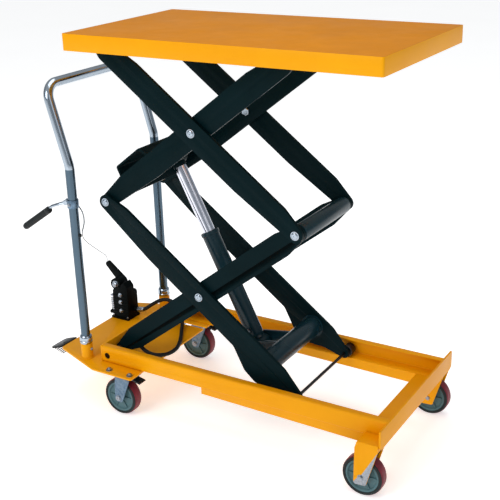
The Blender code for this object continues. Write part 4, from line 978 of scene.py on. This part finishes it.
def bar_path(corners, spacing=math.radians(6)):
    points = [Vector(corners[0][:3])]
    for before, corner, after in zip(corners, corners[1:], corners[2:]):
        here = Vector(corner[:3])
        back = (Vector(before[:3]) - here).normalized()
        ahead = (Vector(after[:3]) - here).normalized()
        half_inside = back.angle(ahead) / 2
        radius = corner[3]
        centre = here + (back + ahead).normalized() * radius / math.sin(half_inside)
        start = (here + back * radius / math.tan(half_inside) - centre).normalized()
        end = (here + ahead * radius / math.tan(half_inside) - centre).normalized()
        count = max(1, math.ceil(start.angle(end) / spacing))
        for step in range(count + 1):
            points.append(centre + radius * start.slerp(end, step / count).normalized())
    points.append(Vector(corners[-1][:3]))
    return points


def finish_handle():
    x = BASE.x - 0.0785
    top_x = x - 0.062
    radius = 0.0137
    corners = []
    for sign in (-1, 1):
        half = [
            (x, sign * 0.2, DECK_TOP + 0.006, 0), (x, sign * 0.2, 0.750, 0.06),
            (top_x, sign * 0.2, 0.975, 0.045),
        ]
        corners += half if sign < 0 else list(reversed(half))
    tube = place("handle_tube", sweep(bar_path(corners), radius, 32), CHROME, "root",
                 "handle_frame", slot="chrome", sharp=50)
    # Painted dark reflection: tube faces below 0.735 m take the darker chrome copy.
    tube.data.materials.append(CHROME_PAINTED_DARK_REFLECTION)
    for face in tube.data.polygons:
        face.material_index = int(face.center.z < 0.735)
    collars = []
    for sign in (-1, 1):
        base = DECK_TOP + 0.0483
        profile = [
            (radius, 0.0258), (0.0158, 0.0255), (0.0172, 0.0240), (0.0186, 0.0200),
            (0.0190, 0.0180), (0.0190, 0.0120), (0.0180, 0.0105), (0.0180, 0.0090),
            (0.0190, 0.0075), (0.0190, 0.0015), (0.0182, 0.0002), (radius, 0.0002),
        ]
        collars.append(lathe(profile, (x, sign * 0.2, base), ALONG_Z, 48, ring=True))
    place("handle_collars", merged("collars", *collars), CHROME, "root", slot="chrome")
    # Rubber stop on the right post that keeps the wire off the tube.
    stub = lathe([(0, 0.006), (0.004, 0.006), (0.0055, 0.004), (0.0055, 0), (0, 0)],
                 (x + 0.0130, -0.2, 0.545), ALONG_X, 28)
    place("wire_guide", stub, GRIP, "root", slot="black_rubber")
    refined("lever_bracket", ZINC, 0.0005, slot="zinc_plate")
    bracket = middle("lever_bracket")
    screw = hex_head((x, -0.2 - 0.0164, bracket.z), -ALONG_Y, 0.008, 0.0028, 0.0052)
    place("bracket_screw", screw, BOLT_ZINC, "root", slot="zinc_plate")
    refined("release_lever", CHROME, 0.0006, slot="chrome")
    grip_low, grip_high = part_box("lever_grip")
    slope = math.radians(34)
    inward = Vector((math.cos(slope), 0, math.sin(slope)))
    tip = Vector((grip_low.x + 0.0105 * math.sin(slope), (grip_low.y + grip_high.y) / 2, 0))
    length = 0.128
    tip.z = grip_high.z - 0.0105 * math.cos(slope) - length * math.sin(slope)
    profile = [(0.0, -0.0), (0.0060, 0.0004), (0.0086, 0.0022), (0.0098, 0.0055)]
    for index in range(14):
        start = 0.0085 + index * 0.0075
        profile += [(0.0103, start), (0.0103, start + 0.0048), (0.0093, start + 0.0054),
                    (0.0093, start + 0.0068)]
    profile += [(0.0103, 0.1150), (0.0104, 0.1200), (0.0104, 0.1250), (0.0090, length),
                (0.0, length)]
    grip = lathe(list(reversed(profile)), tip, inward, 40)
    place("lever_grip_ribbed", grip, GRIP, NODES["lever_grip"]["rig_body"], "lever_grip",
          slot="black_rubber", sharp=50)


def finish_pump():
    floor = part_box("pump_body")[0].z
    x = BASE.x - 0.156
    y = 0.088
    refined("pump_body", CASTING, 0.0020, 3, slot="black_enamel")
    parts = []
    for along in (-0.029, 0.029):
        for aside in (-0.0262, 0.0262):
            parts.append(hex_head((x + along * 0.98, y + aside, floor + 0.007), ALONG_Z, 0.0065,
                                  0.0036))
    # Cap screws in the head, a filler plug on the tank and the relief valve's lock nut.
    for height in (0.030, 0.060, 0.085):
        parts.append(hex_head((x + 0.004, y - 0.026, floor + height), -ALONG_Y, 0.010, 0.0045,
                              0.0075))
    parts.append(hex_head((x + 0.012, y + 0.0175, floor + 0.094), ALONG_Z, 0.012, 0.0060, 0.0085))
    parts.append(hex_head((x - 0.016, y - 0.0215, floor + 0.118), -ALONG_Y, 0.016, 0.0060,
                          0.0120))
    place("pump_screws", merged("screws", *parts), BOLT_ZINC, "root", slot="bare_steel")
    ribs = []
    for index in range(6):
        height = floor + 0.022 + index * 0.0115
        ribs.append(block((x - 0.0275, y - 0.0275, height), (x + 0.0300, y - 0.0255,
                                                              height + 0.0032), 0.0010))
    for index in range(5):
        place_x = x - 0.016 + index * 0.0105
        ribs.append(block((place_x, y + 0.0255, floor + 0.016), (place_x + 0.0034, y + 0.0277,
                                                                  floor + 0.086), 0.0010))
    place("pump_ribs", merged("ribs", *ribs), CASTING, "root", slot="black_enamel")
    # Piston and its return spring.
    piston_x = middle("pump_piston").x
    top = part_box("pump_piston")[1].z
    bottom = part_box("pump_piston")[0].z
    profile = [
        (0, top), (0.0080, top - 0.0002), (0.0105, top - 0.0016), (0.0109, top - 0.0030),
        (0.0109, top - 0.0045), (0.0100, top - 0.0050), (0.0058, top - 0.0055),
        (0.0058, bottom + 0.001), (0.0048, bottom), (0, bottom),
    ]
    place("piston_turned", lathe(profile, (piston_x, y, 0), ALONG_Z, 40), ROD_CHROME, "piston",
          "pump_piston", slot="bare_steel")
    seat = floor + 0.0142
    coil = []
    turns = 6.5
    steps = 24
    wire = 0.0012
    upper = top - 0.0065
    for step in range(int(turns * steps) + 1):
        share = step / (turns * steps)
        angle = 2 * math.pi * share * turns
        coil.append(Vector((
            piston_x + 0.0086 * math.cos(angle), y + 0.0086 * math.sin(angle),
            seat + wire + (upper - seat - 2 * wire) * share,
        )))
    spring = place("return_spring", sweep(coil, wire, 10), GALVANISED_WIRE, None,
                   slot="bare_steel", sharp=60)
    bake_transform(spring)
    refined("release_arm", CASTING, 0.0015, 3, slot="black_enamel")
    pivot = Vector((x - 0.016, y + 0.0225, floor + 0.118))
    place("release_arm_bolt", hex_head(pivot, ALONG_Y, 0.013, 0.0050, 0.0095), BOLT_ZINC,
          "release_arm", slot="bare_steel")


def finish_pedal():
    refined("foot_pedal", BLACK, 0.0012, 2, slot="black_enamel")
    tilt = math.radians(-18)
    pad_x = BASE.x - 0.146 - 0.135
    pad_z = DECK_BOTTOM - 0.020 - 0.018
    move = (Matrix.Translation((pad_x, -0.110, pad_z)) @ Matrix.Rotation(-tilt, 4, "Y"))
    parts = []
    for index in range(7):
        u = 0.008 + index * 0.0062
        parts.append(block((u - 0.0014, -0.031, 0.0018), (u + 0.0014, 0.031, 0.0038), 0.0006))
    pad = merged("ribs", *parts)
    pad.data.transform(move)
    place("pedal_ribs", pad, PAD_RUBBER, "pedal", slot="black_enamel")
    shaft_x = BASE.x - 0.146
    shaft_z = DECK_BOTTOM - 0.020
    rings = []
    for at in (-0.0715, 0.0715):
        rings.append(lathe([(0.0071, 0.003), (0.0105, 0.003), (0.0110, 0.0024), (0.0110, -0.0024),
                            (0.0105, -0.003), (0.0071, -0.003)], (shaft_x, at, shaft_z),
                           ALONG_Y, 36, ring=True))
    place("pedal_shaft_collars", merged("rings", *rings), BOLT_ZINC, "pedal", slot="bare_steel")


finish_frame()
finish_wheels()
finish_casters()
finish_scissor()
finish_cylinder()
finish_table()
finish_handle()
finish_pump()
finish_pedal()


# Studio

def make_studio():
    """White sweep lit softly from the front and above, with dimmer walls for the metal."""
    floor_paint = surface("studio_floor", "#FFFFFF", "#FCFCFC", 900, 30, 0.0, (0.8, 0.9),
                          gloss_level=0.1)
    shader = floor_paint.node_tree.nodes["Principled BSDF"]
    shader.inputs["Emission Color"].default_value = (1, 1, 1, 1)
    shader.inputs["Emission Strength"].default_value = FLOOR_GLOW
    mesh = bpy.data.meshes.new("floor")
    work = bmesh.new()
    bmesh.ops.create_grid(work, x_segments=1, y_segments=1, size=30)
    work.to_mesh(mesh)
    work.free()
    floor = keep(mesh, "studio_floor")
    floor.data.materials.append(floor_paint)
    world = bpy.data.worlds.new("studio")
    world.use_nodes = True
    tree = world.node_tree
    direction = add(tree, "TexCoord").outputs["Generated"]
    upward = add(tree, "SeparateXYZ", Vector=direction).outputs["Z"]
    shade = ramp(tree, upward, (0.0, colour("#CDD4DA")), (0.3, colour("#B4BCC4")),
                 (0.8, colour("#FFFFFF")))
    tree.links.new(shade, tree.nodes["Background"].inputs["Color"])
    tree.nodes["Background"].inputs["Strength"].default_value = WORLD_STRENGTH
    SCENE.world = world
    for name, spot, size, power in LIGHTS:
        data = bpy.data.lights.new(name, "AREA")
        data.size = size
        data.energy = power
        lamp = bpy.data.objects.new(name, data)
        lamp.location = spot
        aim = Vector((0, 0, 0.55)) - Vector(spot)
        lamp.rotation_euler = aim.to_track_quat("-Z", "Y").to_euler()
        SCENE.collection.objects.link(lamp)
    SCENE.view_settings.view_transform = "Standard"


FLOOR_GLOW = 0.48
WORLD_STRENGTH = 0.55
LIGHTS = [
    ("front", (-1.0, -3.8, 2.9), 2.4, 84),
    ("end", (3.6, -1.6, 2.4), 2.2, 10),
    ("top", (0.0, 0.4, 4.2), 2.8, 52),
]
make_studio()
